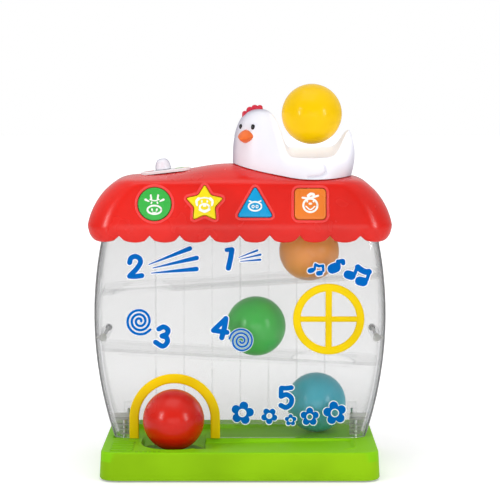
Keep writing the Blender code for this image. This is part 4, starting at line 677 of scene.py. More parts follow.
class Finishes(Enum):
    """Every finish on the toy."""

    RED = MouldedPlastic("roof_red", (0.74, 0.01, 0.004), 0.25, gloss=0.36)
    # Painted highlight: the raised rims round the buttons are a paler red than the roof they are moulded with
    RIM_HIGHLIGHT_RED = MouldedPlastic("rim_red_painted_highlight", (0.86, 0.05, 0.045), 0.25, gloss=0.4)
    GREEN = BaseGreen("base_green", (0.285, 0.56, 0.005), 0.45, skin=0.04, coat=0.0, gloss=0.06)
    YELLOW = MouldedPlastic("trim_yellow", (0.97, 0.67, 0.0), 0.3, gloss=0.08)
    WHITE = PaintedLightWhite("hen_white", linear(240, 239, 247), 0.36, tint=0.02)
    PLATE_WHITE = MouldedPlastic("floor_white", linear(232, 232, 236), 0.4, tint=0.03)
    COMB = MouldedPlastic("comb_crimson", linear(216, 40, 66), 0.38)
    BEAK = MouldedPlastic("beak_orange", linear(240, 112, 42), 0.34)
    EYE = MouldedPlastic("eye_black", (0.006, 0.005, 0.008), 0.12, coat=0.3)
    BUTTON_GREEN = MouldedPlastic("button_green", (0.04, 0.43, 0.06), 0.26)
    BUTTON_YELLOW = MouldedPlastic("button_yellow", (0.95, 0.76, 0.005), 0.26)
    BUTTON_BLUE = MouldedPlastic("button_blue", (0.002, 0.34, 0.68), 0.26)
    BUTTON_ORANGE = MouldedPlastic("button_orange", (0.84, 0.21, 0.022), 0.26)
    BALL_YELLOW = MouldedPlastic("ball_yellow_skin", (0.97, 0.6, 0.0), 0.24, tint=0.03, coat=0.08, gloss=0.12)
    BALL_ORANGE = MouldedPlastic("ball_orange_skin", (0.98, 0.33, 0.02), 0.3, gloss=0.6)
    BALL_GREEN = MouldedPlastic("ball_green_skin", (0.02, 0.6, 0.04), 0.3, gloss=0.6)
    BALL_BLUE = MouldedPlastic("ball_blue_skin", (0.03, 0.48, 0.62), 0.3, gloss=0.6)
    BALL_RED = MouldedPlastic("ball_red_skin", (0.66, 0.01, 0.001), 0.25, gloss=0.32)
    CLEAR = ClearPlastic("housing_clear", 0.02, 0.42, rim=(0.12, 0.12, 0.13), gloss=0.45)
    BACK_CLEAR = ClearPlastic("back_clear", 0.24, 0.1, (0.3, 0.3, 0.3), (0.6, 0.6, 0.6), 0.12)
    TROUGH_CLEAR = ClearPlastic(
        "trough_clear", 0.02, 0.03, (0.55, 0.55, 0.57), (0.55, 0.55, 0.57), 0.08, 0.02
    )
    BRACKET_CLEAR = ClearPlastic("bracket_clear", 0.45, 0.3, (0.5, 0.5, 0.46), (0.35, 0.35, 0.33), 0.1)
    # Painted shade: shows only edge-on, as a dark line in the front corners
    EDGE_SHADE = ClearPlastic("painted_edge_shade", 0.0, 2.2, (0.1, 0.1, 0.1), (0.1, 0.1, 0.1), 0.0)
    RIB_CLEAR = ClearPlastic("rib_clear", 0.08, 0.2, (0.5, 0.5, 0.51), (0.4, 0.4, 0.42), 0.15)
    INK_BLUE = Print("ink_blue", (0.0, 0.15, 0.58))
    INK_WHITE = Print("ink_white", linear(250, 251, 254), 0.02)
    FACE_WHITE = Print("face_white", linear(246, 246, 240), 0.03)
    GREY = MouldedPlastic("inner_grey", linear(96, 99, 103), 0.5)
    BLACK = MouldedPlastic("inner_black", (0.012, 0.012, 0.014), 0.35)
    STEEL = Metal("plated_steel", (0.82, 0.82, 0.84))
    RUBBER = Rubber("foot_rubber", (0.05, 0.05, 0.055))
    BOARD = CircuitGreen("circuit_green")
    SWITCH = SwitchPrint("switch_plate_print", (SWITCH_X, HOUSING_Y + SWITCH_DEEP + 1.5 * MM), SWITCH_HALF)


class Palette:
    """Makes each finish once and hands it out."""

    def __init__(self) -> None:
        """Start with nothing made."""
        self.made: dict[str, Any] = {}

    def get(self, finish: Finishes) -> Any:
        """The material of a finish.

        Args:
            finish: which finish it is.

        Returns:
            Its material, made at the first call.
        """
        if finish.name not in self.made:
            self.made[finish.name] = finish.value.make()
        return self.made[finish.name]


PALETTE = Palette()


# Surfaces


def stand(name: str, data: Any) -> Any:
    """Make an object of a mesh, a lamp or a camera and put it in the scene.

    Args:
        name: the object's name.
        data: what it shows.

    Returns:
        The object.
    """
    made = bpy.data.objects.new(name, data)
    bpy.context.scene.collection.objects.link(made)
    return made


@dataclass
class Surface:
    """Points and faces gathered for one mesh."""

    points: list[Array] = field(default_factory=list)
    faces: list[tuple[int, ...]] = field(default_factory=list)
    count: int = 0

    def add(self, points: Array, faces: list[tuple[int, ...]]) -> Surface:
        """Add points and the faces between them.

        Args:
            points: their places, in metres.
            faces: the corners of each face, counted from the first of these points.

        Returns:
            This surface.
        """
        flat = np.asarray(points, float).reshape(-1, 3)
        self.points.append(flat)
        self.faces.extend(tuple(int(i) + self.count for i in face) for face in faces)
        self.count += len(flat)
        return self

    def grid(self, points: Array, round_rows: bool = False, round_columns: bool = False) -> Surface:
        """Add a grid of points, with a face between each four neighbours.

        Args:
            points: array of rows, columns and 3.
            round_rows: join the last row to the first.
            round_columns: join the last column to the first.

        Returns:
            This surface.
        """
        return self.add(points, quads(*points.shape[:2], round_rows, round_columns))

    def rings(self, points: Array) -> Surface:
        """Add rings of points joined along, with the first and last ring closed by a face.

        Args:
            points: array of rings, points round each, and 3.

        Returns:
            This surface.
        """
        rows, columns = points.shape[:2]
        ends = [tuple(range(columns))[::-1], tuple(range((rows - 1) * columns, rows * columns))]
        return self.add(points, quads(rows, columns, False, True) + ends)

    def mesh(self, name: str) -> Any:
        """Make a mesh of what was gathered, with its faces turned outwards.

        Args:
            name: the mesh's name.

        Returns:
            The mesh.
        """
        made = bpy.data.meshes.new(name)
        made.from_pydata(np.concatenate(self.points).tolist(), [], self.faces)
        made.validate()
        outward(made)
        return made

    def piece(
        self,
        name: str,
        finish: Finishes,
        stands_for: tuple[str, ...] = (),
        slot: str | None = None,
        body: str = "barn",
        crease: float = 38.0,
    ) -> Any:
        """Make the mesh and its object, dressed and riding on its body.

        Args:
            name: the piece's name.
            finish: its finish.
            stands_for: CAD nodes that it replaces.
            slot: the record's material slot; not used.
            body: the CAD body that it rides on.
            crease: angle in degrees past which an edge stays sharp.

        Returns:
            The object.
        """
        mesh = self.mesh(name)
        made = stand(name, mesh)
        soften(mesh, crease)
        mesh.materials.append(PALETTE.get(finish))
        if stands_for:
            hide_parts(*stands_for)
        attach(made, body)
        LOG.info("%s: %d faces", name, len(mesh.polygons))
        return made


def quads(rows: int, columns: int, round_rows: bool, round_columns: bool) -> list[tuple[int, ...]]:
    """Faces of a grid: each joins a point, its right neighbour and the two below them.

    Args:
        rows: how many rows the grid has.
        columns: how many points a row has.
        round_rows: whether the last row joins the first.
        round_columns: whether the last column joins the first.

    Returns:
        The corners of each face.
    """
    row = np.arange(rows if round_rows else rows - 1)[:, None]
    column = np.arange(columns if round_columns else columns - 1)[None, :]
    below = (row + 1) % rows
    beside = (column + 1) % columns
    first, second = row * columns, below * columns
    corners = (first + column, first + beside, second + beside, second + column)
    stacked = np.stack(np.broadcast_arrays(*corners), -1)
    return [tuple(face) for face in stacked.reshape(-1, 4).tolist()]


def outward(mesh: Any) -> None:
    """Merge doubled points and turn every face outwards.

    Args:
        mesh: the mesh that is changed.
    """
    work = bmesh.new()
    work.from_mesh(mesh)
    bmesh.ops.remove_doubles(work, verts=work.verts, dist=1e-6)
    bmesh.ops.recalc_face_normals(work, faces=work.faces)
    work.to_mesh(mesh)
    work.free()


def soften(mesh: Any, crease: float) -> None:
    """Shade smoothly, apart from sharp edges.

    Args:
        mesh: the mesh that is changed.
        crease: angle in degrees past which an edge stays sharp.
    """
    mesh.polygons.foreach_set("use_smooth", np.ones(len(mesh.polygons), dtype=bool))
    mesh.set_sharp_from_angle(angle=math.radians(crease))
    mesh.update()


def carve(target: Any, cutters: Surface, crease: float = 38.0) -> None:
    """Cut closed shapes out of a piece, and keep its finish.

    Args:
        target: the piece's object.
        cutters: the shapes.
        crease: angle in degrees past which an edge stays sharp.
    """
    mesh = cutters.mesh("cutter")
    tool = stand("cutter", mesh)
    cut = target.modifiers.new("cut", "BOOLEAN")
    cut.operation = "DIFFERENCE"
    cut.solver = "EXACT"
    cut.object = tool
    graph = bpy.context.evaluated_depsgraph_get()
    result = bpy.data.meshes.new_from_object(target.evaluated_get(graph))
    target.modifiers.clear()
    old = target.data
    target.data = result
    result.name = old.name
    bpy.data.objects.remove(tool)
    bpy.data.meshes.remove(mesh)
    soften(result, crease)


# Outlines and frames


def arc(centre: Point, radius: float, start: float, stop: float, steps: int) -> Outline:
    """Points on a circle from one angle to another.

    Args:
        centre: the circle's centre.
        radius: its radius.
        start: the first angle, in degrees.
        stop: the last angle.
        steps: the number of equal steps between them.

    Returns:
        The points.
    """
    turn = np.radians(np.linspace(start, stop, steps + 1))
    return np.stack((centre[0] + radius * np.cos(turn), centre[1] + radius * np.sin(turn)), -1)


def ring(radius: float, steps: int) -> Outline:
    """A full circle about nought, without a doubled point."""
    return arc((0.0, 0.0), radius, 0, 360, steps)[:-1]


def rounded_box(half_u: float, half_v: float, radius: float, steps: int = 8) -> Outline:
    """A rectangle whose corners are quarter circles, anticlockwise.

    Args:
        half_u: half its length.
        half_v: half its width.
        radius: the corners' radius.
        steps: the number of steps round a corner.

    Returns:
        Its points.
    """
    u, v = half_u - radius, half_v - radius
    corners = [(u, v, 0), (-u, v, 90), (-u, -v, 180), (u, -v, 270)]
    return np.concatenate([arc((a, b), radius, start, start + 90, steps) for a, b, start in corners])


def rounded_corners(corners: Array, radius: float, steps: int = 6) -> Outline:
    """Cut each corner by the curve (1-t)²A + 2t(1-t)C + t²B between points a radius before and after it.

    Args:
        corners: the corners of a closed outline.
        radius: how far from each corner its curve starts.
        steps: the number of steps along a curve.

    Returns:
        The curves' points.
    """
    before = np.roll(corners, 1, 0) - corners
    after = np.roll(corners, -1, 0) - corners
    start = corners + before / np.linalg.norm(before, axis=1, keepdims=True) * radius
    stop = corners + after / np.linalg.norm(after, axis=1, keepdims=True) * radius
    t = np.linspace(0, 1, steps + 1)[None, :, None]
    curve = (1 - t) ** 2 * start[:, None] + 2 * t * (1 - t) * corners[:, None] + t**2 * stop[:, None]
    return curve.reshape(-1, 2)


def grown(outline: Outline, step: float) -> Outline:
    """Move each point out along the mean of its two sides' normals.

    Args:
        outline: a closed outline, anticlockwise.
        step: how far its sides move, or less than nought to draw it in.

    Returns:
        The moved points.
    """
    normals = []
    for side in (outline - np.roll(outline, 1, 0), np.roll(outline, -1, 0) - outline):
        length = np.maximum(np.linalg.norm(side, axis=1, keepdims=True), 1e-9)
        normals.append(np.stack((side[:, 1], -side[:, 0]), -1) / length)
    mean = normals[0] + normals[1]
    scale = np.maximum((mean**2).sum(1, keepdims=True), 0.6)
    return outline + step * 2 * mean / scale


@dataclass(frozen=True)
class Frame:
    """An origin and three square axes, along, up and out."""

    origin: Array
    along: Array
    up: Array
    out: Array

    def at(self, u: Any, v: Any, w: Any) -> Array:
        """Points at u along, v up and w out, for numbers or arrays."""
        u, v, w = np.broadcast_arrays(*(np.asarray(a, float) for a in (u, v, w)))
        return self.origin + u[..., None] * self.along + v[..., None] * self.up + w[..., None] * self.out

    def moved(self, u: float, v: float, w: float) -> Frame:
        """The same axes from another place of this frame."""
        return Frame(self.at(u, v, w), self.along, self.up, self.out)


def level_frame(x: float, y: float, z: float) -> Frame:
    """Along +X, up +Y and out +Z."""
    return Frame(np.array((x, y, z)), ALONG, DEEP, UP)


def wall_frame(x: float, y: float, z: float, end: int = -1) -> Frame:
    """Along the wall, up +Z and out of the front, or of the back for end 1."""
    return Frame(np.array((x, y, z)), -end * ALONG, UP, end * DEEP)


def rounded_edge(radius: float, top: float, steps: int = 6) -> list[tuple[float, float]]:
    """Stations that round an edge by a quarter circle, from its side up to the top.

    Args:
        radius: the edge's radius.
        top: the height that it ends at.
        steps: how many stations there are.

    Returns:
        The growth and the height of each station.
    """
    turn = np.linspace(0, math.pi / 2, steps)
    return [(-radius * (1 - math.cos(t)), top - radius * (1 - math.sin(t))) for t in turn]


def plate(surface: Surface, outline: Outline, stations: list[tuple[float, float]], place: Frame) -> None:
    """Add a closed plate.

    Args:
        surface: what to add to.
        outline: its outline, anticlockwise.
        stations: how far the outline is grown and at what height, from under to top.
        place: the frame that it lies in.
    """
    rows = [place.at(*grown(outline, step).T, np.full(len(outline), height)) for step, height in stations]
    surface.rings(np.stack(rows))


def lathed(profile: Array, steps: int, place: Frame) -> Array:
    """Carry each point of a profile once round the out axis.

    Args:
        profile: the radius and height of each point, in metres.
        steps: the number of steps of a turn.
        place: the frame that it turns in.

    Returns:
        A row of points for each point of the profile.
    """
    turn = around(steps)
    radius, height = np.asarray(profile)[:, 0, None], np.asarray(profile)[:, 1, None]
    return place.at(radius * np.cos(turn), radius * np.sin(turn), height)


def turned(surface: Surface, profile: Array, steps: int, place: Frame) -> None:
    """Add a turned body, closed at both ends of its profile.

    Args:
        surface: what to add to.
        profile: the radius and height of each point, in metres.
        steps: the number of steps of a turn.
        place: the frame that it turns in.
    """
    surface.rings(lathed(profile, steps, place))


def bore(surface: Surface, radius: float, span: tuple[float, float], steps: int, place: Frame) -> None:
    """Add a cylinder, mostly to cut a hole with.

    Args:
        surface: what to add to.
        radius: its radius.
        span: the heights of its ends.
        steps: the number of steps of a turn.
        place: the frame that it stands in.
    """
    turned(surface, np.array([(radius, height) for height in span]), steps, place)


def swept(surface: Surface, path: Array, aside: Array, out: Array, profile: Array, closed: bool) -> None:
    """Carry a closed (aside, out) profile along a path.

    Args:
        surface: what to add to.
        path: points of the path.
        aside: unit vector across the path at each point.
        out: unit vector out of the path's plane.
        profile: points of the section, in metres.
        closed: whether the path comes back to its start.
    """
    rows = path[:, None] + profile[None, :, 0, None] * aside[:, None] + profile[None, :, 1, None] * out
    if closed:
        surface.grid(rows, round_rows=True, round_columns=True)
    else:
        surface.rings(rows)


def bead(half: float, height: float, edge: float, steps: int = 5) -> Array:
    """Section of a raised band: flat under, with edges rounded by a quarter circle.

    Args:
        half: half its width.
        height: its height.
        edge: the radius of its edges.
        steps: the number of steps round an edge.

    Returns:
        The section's points.
    """
    left = arc((-half + edge, height - edge), edge, 90, 180, steps)
    right = arc((half - edge, height - edge), edge, 0, 90, steps)
    return np.concatenate([[(half, 0.0)], right, left, [(-half, 0.0)]])


def two_sheets(part: Roof | Housing, end: int) -> Surface:
    """A wall of a roof or housing: its outer and inner sheet, joined at the foot, the top and both seams.

    Args:
        part: whose sheets they are.
        end: -1 for the front half and 1 for the back half.

    Returns:
        The wall.
    """
    loop = np.concatenate((part.sheet(0.0), part.sheet(part.wall)[::-1]))
    loop[..., 1] = HOUSING_Y + end * loop[..., 1]
    half = len(loop) // 2
    made = Surface().grid(loop, round_rows=True)
    for column in (0, loop.shape[1] - 1):
        made.grid(np.stack((loop[:half, column], loop[half:, column][::-1])))
    return made


# Prints: strokes with round ends


@dataclass(frozen=True)
class Stroke:
    """A line of ink: points in its own units and a width at each end."""

    points: tuple[Point, ...]
    width: float
    end_width: float | None = None

    def centre_line(self) -> Array:
        """The path through every point: straight between two, and a Catmull-Rom curve through more.

        Returns:
            Its points.
        """
        points = np.array(self.points, float)
        if len(points) < 3:
            return points[0] + np.linspace(0, 1, 13)[:, None] * (points[1] - points[0])
        padded = np.concatenate([[2 * points[0] - points[1]], points, [2 * points[-1] - points[-2]]])
        t = np.linspace(0, 1, 9)[:-1, None, None]
        a, b, c, d = padded[:-3], padded[1:-2], padded[2:-1], padded[3:]
        bend = 2 * a - 5 * b + 4 * c - d
        curve = 0.5 * (2 * b + (c - a) * t + bend * t**2 + (3 * b - a - 3 * c + d) * t**3)
        return np.concatenate([curve.transpose(1, 0, 2).reshape(-1, 2), points[-1:]])

    def border(self, grow: float) -> Outline:
        """The edge of the line: half its width to each side, and a half circle round each end.

        Args:
            grow: how much wider it is drawn on each side.

        Returns:
            The edge's points.
        """
        line = self.centre_line()
        along = np.gradient(line, axis=0)
        along /= np.maximum(np.linalg.norm(along, axis=1, keepdims=True), 1e-9)
        aside = np.stack((-along[:, 1], along[:, 0]), -1)
        last = self.width if self.end_width is None else self.end_width
        half = np.linspace(self.width, last, len(line))[:, None] / 2 + grow
        turn = np.linspace(0, math.pi, 9)[1:-1, None]
        stop = line[-1] + half[-1] * (np.cos(turn) * aside[-1] + np.sin(turn) * along[-1])
        start = line[0] + half[0] * (-np.cos(turn) * aside[0] - np.sin(turn) * along[0])
        return np.concatenate([line + half * aside, stop, (line - half * aside)[::-1], start])

    def ribbon(self, grow: float) -> Patch:
        """The line as a strip of faces, with a fan of its border at each end.

        Args:
            grow: how much wider it is drawn on each side.

        Returns:
            Its points and faces.
        """
        border = self.border(grow)
        count = len(self.centre_line())
        back = 2 * count + 6
        faces = [(left, left + 1, back - left - 1, back - left) for left in range(count - 1)]
        faces.append(tuple(range(count - 1, count + 8)))
        faces.append((*range(back, len(border)), 0))
        return border, faces


def jointed(points: tuple[Point, ...], width: float) -> list[Stroke]:
    """A line with sharp corners, as one straight stroke for each side."""
    return [Stroke(side, width) for side in zip(points[:-1], points[1:])]


@dataclass
class Roof:
    """Scalloped roof in two shells, with a raised rim round each button."""

    half_width: float = 124.9 * MM
    half_depth: float = 49 * MM
    corner: float = 24 * MM
    widest: float = 201.4 * MM
    crease: float = 237.5 * MM
    shoulder: float = 56.1 * MM
    shoulder_z: float = 191.5 * MM
    cusp: float = 194.2 * MM
    drop: float = 5.9 * MM
    valley: float = 0.13
    wall: float = 2.2 * MM
    lip: tuple[float, float] = (6 * MM, 2 * MM)
    lobes: int = 8
    steps: int = 12
    edge_rise: float = 3.3 * MM
    crown: float = 9.5 * MM
    crown_x: float = -7 * MM
    crown_spread: float = 45 * MM
    flat_share: float = 0.79
    bowl: float = 29.1 * MM
    bowl_span: tuple[float, float] = (215 * MM, 265 * MM)
    doorway: tuple[float, float, float] = (33.3 * MM, 13.3 * MM, 2.3 * MM)
    grille: float = 7 * MM
    grille_hole: float = 1.6 * MM
    screw_hole: float = 3.2 * MM
    through: tuple[float, float] = (-8 * MM, 6 * MM)

    def width_at(self, z: Any) -> Array:
        """Half width: the side is an arc of the shoulder radius about the shoulder height."""
        centre = self.half_width - math.sqrt(self.shoulder**2 - (self.widest - self.shoulder_z) ** 2)
        return centre + np.sqrt(self.shoulder**2 - (np.asarray(z) - self.shoulder_z) ** 2)

    def depth_at(self, z: Any) -> Array:
        """Half depth: the wall leans in by ten degrees above its widest place."""
        return self.half_depth - np.maximum(0.0, np.asarray(z) - self.widest) * math.tan(LEAN)

    def top(self, x: Any, depth: Any) -> Array:
        """Top: crease height + (edge + Gaussian crown) × shoulder × (1 - depth share to the power 2.2).

        Args:
            x: places across the roof.
            depth: distances from the ridge.

        Returns:
            The height at each place.
        """
        edge = float(self.width_at(self.crease))
        crown = self.crown * np.exp(-(((x - self.crown_x) / self.crown_spread) ** 2))
        beside = np.maximum(0.0, np.abs(x) - self.flat_share * edge) / ((1 - self.flat_share) * edge)
        shoulder = 1 - np.minimum(1.0, beside) ** 3
        across = np.minimum(1.0, np.abs(depth) / float(self.depth_at(self.crease)))
        return self.crease + (self.edge_rise + crown) * shoulder * (1 - across**2.2)

    def path(self, half: float, depth: float, radius: float) -> tuple[Array, Array]:
        """Half of the plan with so many points a scallop.

        Args:
            half: half the width.
            depth: the depth before the seam.
            radius: the corner's radius.

        Returns:
            The (x, depth) points, and how low the scallop hangs at each, 0 to 1.
        """
        share = np.arange(self.steps) / self.steps
        side = np.stack((np.full(self.steps, -half), (depth - radius) * share), -1)
        turn = np.radians(180 - 90 * share)
        bend = np.stack((radius - half + radius * np.cos(turn), depth - radius + radius * np.sin(turn)), -1)
        run = np.arange(self.lobes * self.steps) / (self.lobes * self.steps)
        front = np.stack(((half - radius) * (2 * run - 1), np.full(len(run), depth)), -1)
        left = np.concatenate((side, bend))
        right = (left * (-1, 1))[::-1]
        points = np.concatenate((left, front, [((half - radius), depth)], right))
        phase = np.concatenate((share, share, (run * self.lobes) % 1, [0.0], share[::-1], share[::-1]))
        points[:, 1] = np.maximum(points[:, 1], GAP / 2)
        hang = np.sqrt(np.clip(1 - (2 * phase - 1) ** 2, 0, None))
        return points, hang * rise(np.minimum(phase, 1 - phase) / self.valley)

    def eaves(self, inset: float) -> list[Array]:
        """Rows from the lip out to the widest place, along a quarter of an ellipse.

        Args:
            inset: how far the sheet is drawn in.

        Returns:
            The rows, from below.
        """
        rows = []
        for turn in np.linspace(0, math.pi / 2, 7):
            across, deep = (reach * (1 - math.sin(turn)) + inset for reach in self.lip)
            points, hang = self.path(self.half_width - across, self.half_depth - deep, self.corner - deep)
            low = self.cusp - self.drop * hang
            rows.append(np.column_stack((points, low + (self.widest - low) * (1 - math.cos(turn)))))
        return rows

    def sheet(self, inset: float) -> Array:
        """Rows of points from the lip up the wall and over the top, with the crease between them evened out.

        Args:
            inset: how far the sheet is drawn in.

        Returns:
            A grid of rows, points and 3.
        """
        rows = self.eaves(inset)
        levels = np.linspace(self.widest, self.crease - 5 * MM, 12)[1:]
        for level in np.concatenate((levels, self.crease - mm(4, 3, 2, 1, 0.2))):
            half, deep = float(self.width_at(level)) - inset, float(self.depth_at(level)) - inset
            points, _hang = self.path(half, deep, self.corner - inset)
            rows.append(np.column_stack((points, np.full(len(points), min(level, self.crease - inset)))))
        first, last = len(rows) - 6, len(rows) + 6
        edge = float(self.width_at(self.crease))
        depth = float(self.depth_at(self.crease))
        for share in np.concatenate(((0.03, 0.06, 0.1, 0.14), np.linspace(0.2, 1, 12))):
            deep = depth * (1 - 0.996 * share)
            half = edge * (1 - 0.18 * share**0.6) - inset
            points, _hang = self.path(half, deep, min(self.corner * (1 - share * 0.98) * 0.95, deep))
            rows.append(np.column_stack((points, self.top(points[:, 0], points[:, 1]) - inset)))
        grid = np.stack(rows)
        for _round in range(10):
            beside = grid[first - 1 : last - 1] + grid[first + 1 : last + 1]
            grid[first:last] = grid[first:last] * 0.5 + beside * 0.25
        return grid

    def button_frame(self, x: float) -> Frame:
        """Axes on the leaning front wall at a button."""
        return self.lean_frame(x, BUTTON_Z, -1)

    def lean_frame(self, x: float, z: float, end: int) -> Frame:
        """Along, up and out of the leaning wall at a place.

        Args:
            x: place across the roof.
            z: its height.
            end: -1 for the front wall, 1 for the back.

        Returns:
            The axes.
        """
        out = np.array((0, end * math.cos(LEAN), math.sin(LEAN)))
        up = np.array((0, -end * math.sin(LEAN), math.cos(LEAN)))
        place = np.array((x, HOUSING_Y + end * float(self.depth_at(z)), z))
        return Frame(place, np.cross(up, out), up, out)

    def switch_frame(self) -> Frame:
        """Axes on the top at the slide switch, along its slope.

        Returns:
            The axes, a little above the top.
        """
        half = SWITCH_HALF[0]
        low, high = (float(self.top(np.float64(SWITCH_X + side * half), SWITCH_DEEP)) for side in (-1, 1))
        slope = math.atan2(high - low, 2 * half)
        along = np.array((math.cos(slope), 0, math.sin(slope)))
        out = np.array((-math.sin(slope), 0, math.cos(slope)))
        place = np.array((SWITCH_X, HOUSING_Y + SWITCH_DEEP, (low + high) / 2 + 0.6 * MM))
        return Frame(place, along, DEEP, out)

    def bowl_cut(self) -> Surface:
        """The round opening under the hen, which both shells have.

        Returns:
            The shape that cuts it.
        """
        made = Surface()
        bore(made, self.bowl, self.bowl_span, 96, level_frame(CHUTE_X, HOUSING_Y, 0.0))
        return made

    def rims(self, buttons: list[Button]) -> Surface:
        """Raised bands round the buttons, each carried along its button's outline.

        Args:
            buttons: the four buttons.

        Returns:
            The bands.
        """
        made = Surface()
        for button in buttons:
            outline = grown(button.outline(), 1.7 * MM)
            away = grown(outline, 1.0) - outline
            away /= np.linalg.norm(away, axis=1, keepdims=True)
            place = self.button_frame(button.x)
            path = place.at(outline[:, 0], outline[:, 1], np.zeros(len(outline)))
            aside = away[:, 0, None] * place.along + away[:, 1, None] * place.up
            swept(made, path, aside, place.out, bead(1.1 * MM, 0.7 * MM, 0.65 * MM), True)
        return made

    def build(self, buttons: list[Button]) -> None:
        """Make both shells, cut their openings, and add the rims round the buttons.

        Args:
            buttons: the four buttons.
        """
        low, high = self.through
        front = two_sheets(self, -1).piece("roof_front_shell", Finishes.RED, ("roof_front",), "red_plastic")
        cuts = self.bowl_cut()
        for button in buttons:
            place = self.button_frame(button.x)
            plate(cuts, button.outline(), [(0.5 * MM, low - 1 * MM), (0.5 * MM, high)], place)
        plate(cuts, rounded_box(*SWITCH_SLOT), [(0.0, low), (0.0, high)], self.switch_frame())
        carve(front, cuts)
        back = two_sheets(self, 1).piece("roof_back_shell", Finishes.RED, ("roof_back",), "red_plastic")
        cuts = self.bowl_cut()
        place = self.lean_frame(BATTERY_X, BATTERY_Z, 1)
        plate(cuts, rounded_box(*self.doorway), [(0.0, low), (0.0, high)], place)
        place = self.lean_frame(SPEAKER_X, BUTTON_Z, 1)
        for u, v in np.concatenate(([(0.0, 0.0)], ring(self.grille, 8))):
            bore(cuts, self.grille_hole, self.through, 20, place.moved(u, v, 0.0))
        for side in (-1, 1):
            place = wall_frame(side * ROOF_SCREW_X, 0.0, ROOF_SCREW_Z, 1)
            bore(cuts, self.screw_hole, (41.2 * MM, 75 * MM), 32, place)
        carve(back, cuts)
        # The rims are real relief; their paler red is a painted highlight
        self.rims(buttons).piece("button_rims", Finishes.RIM_HIGHLIGHT_RED, slot="red_plastic")


class Shape(Enum):
    """The four button shapes."""

    CIRCLE = "circle"
    STAR = "star"
    TRIANGLE = "triangle"
    SQUARE = "square"


@dataclass
class Button:
    """A push button with a crowned cap and an animal's face printed on it."""

    shape: Shape
    x: float
    finish: Finishes
    ink: tuple[Stroke, ...]
    proud: float = 1.2 * MM
    crown: float = 0.2 * MM
    flange: float = 1.8 * MM
    flange_z: tuple[float, float] = (-3.96 * MM, -2.47 * MM)
    circle: float = 13.3 * MM
    star: tuple[float, float] = (15.6 * MM, 8.6 * MM)
    triangle_side: float = 29 * MM
    square: float = 12.5 * MM

    def outline(self) -> Outline:
        """The cap in plan.

        Returns:
            A circle, or a star, triangle or square with rounded corners, anticlockwise.
        """
        if self.shape is Shape.CIRCLE:
            return ring(self.circle, 72)
        if self.shape is Shape.STAR:
            angle = np.radians(90 + 36 * np.arange(10))
            radius = np.tile(self.star, 5)
            return rounded_corners(np.stack((radius * np.cos(angle), radius * np.sin(angle)), -1), 1.9 * MM)
        if self.shape is Shape.TRIANGLE:
            corners = arc((0.0, 0.0), self.triangle_side / math.sqrt(3), 90, 450, 3)[:-1]
            return rounded_corners(corners - (0, 2.2 * MM), 3.2 * MM)
        return rounded_box(self.square, self.square, 3.2 * MM)

    def build(self, roof: Roof) -> None:
        """Make the cap, with its flange behind the wall, and print the face.

        Args:
            roof: the roof that it stands in.
        """
        place = roof.button_frame(self.x)
        name = self.shape.value
        body = f"{name}_button"
        low, high = self.flange_z
        flange = [(self.flange, low), (self.flange, high), (0.0, high)]
        stations = flange + rounded_edge(0.9 * MM, self.proud)
        outline = self.outline()
        rows = [place.at(*grown(outline, step).T, np.full(len(outline), height)) for step, height in stations]
        face = grown(outline, stations[-1][0])
        for share in (0.8, 0.6, 0.4, 0.2, 0.03):
            height = self.proud + self.crown * (1 - share * share)
            rows.append(place.at(*(face * share).T, np.full(len(face), height)))
        Surface().rings(np.stack(rows)).piece(f"{name}_cap", self.finish, (f"button_{name}",), body=body)
        ink = Surface()
        for layer, stroke in enumerate(self.ink):
            points, faces = stroke.ribbon(0.0)
            height = self.proud + self.crown + 0.04 * MM + layer * 0.004 * MM
            ink.add(place.at(points[:, 0] * MM, points[:, 1] * MM, np.full(len(points), height)), faces)
        ink.piece(f"{name}_face", Finishes.FACE_WHITE, slot="white_plastic", body=body)


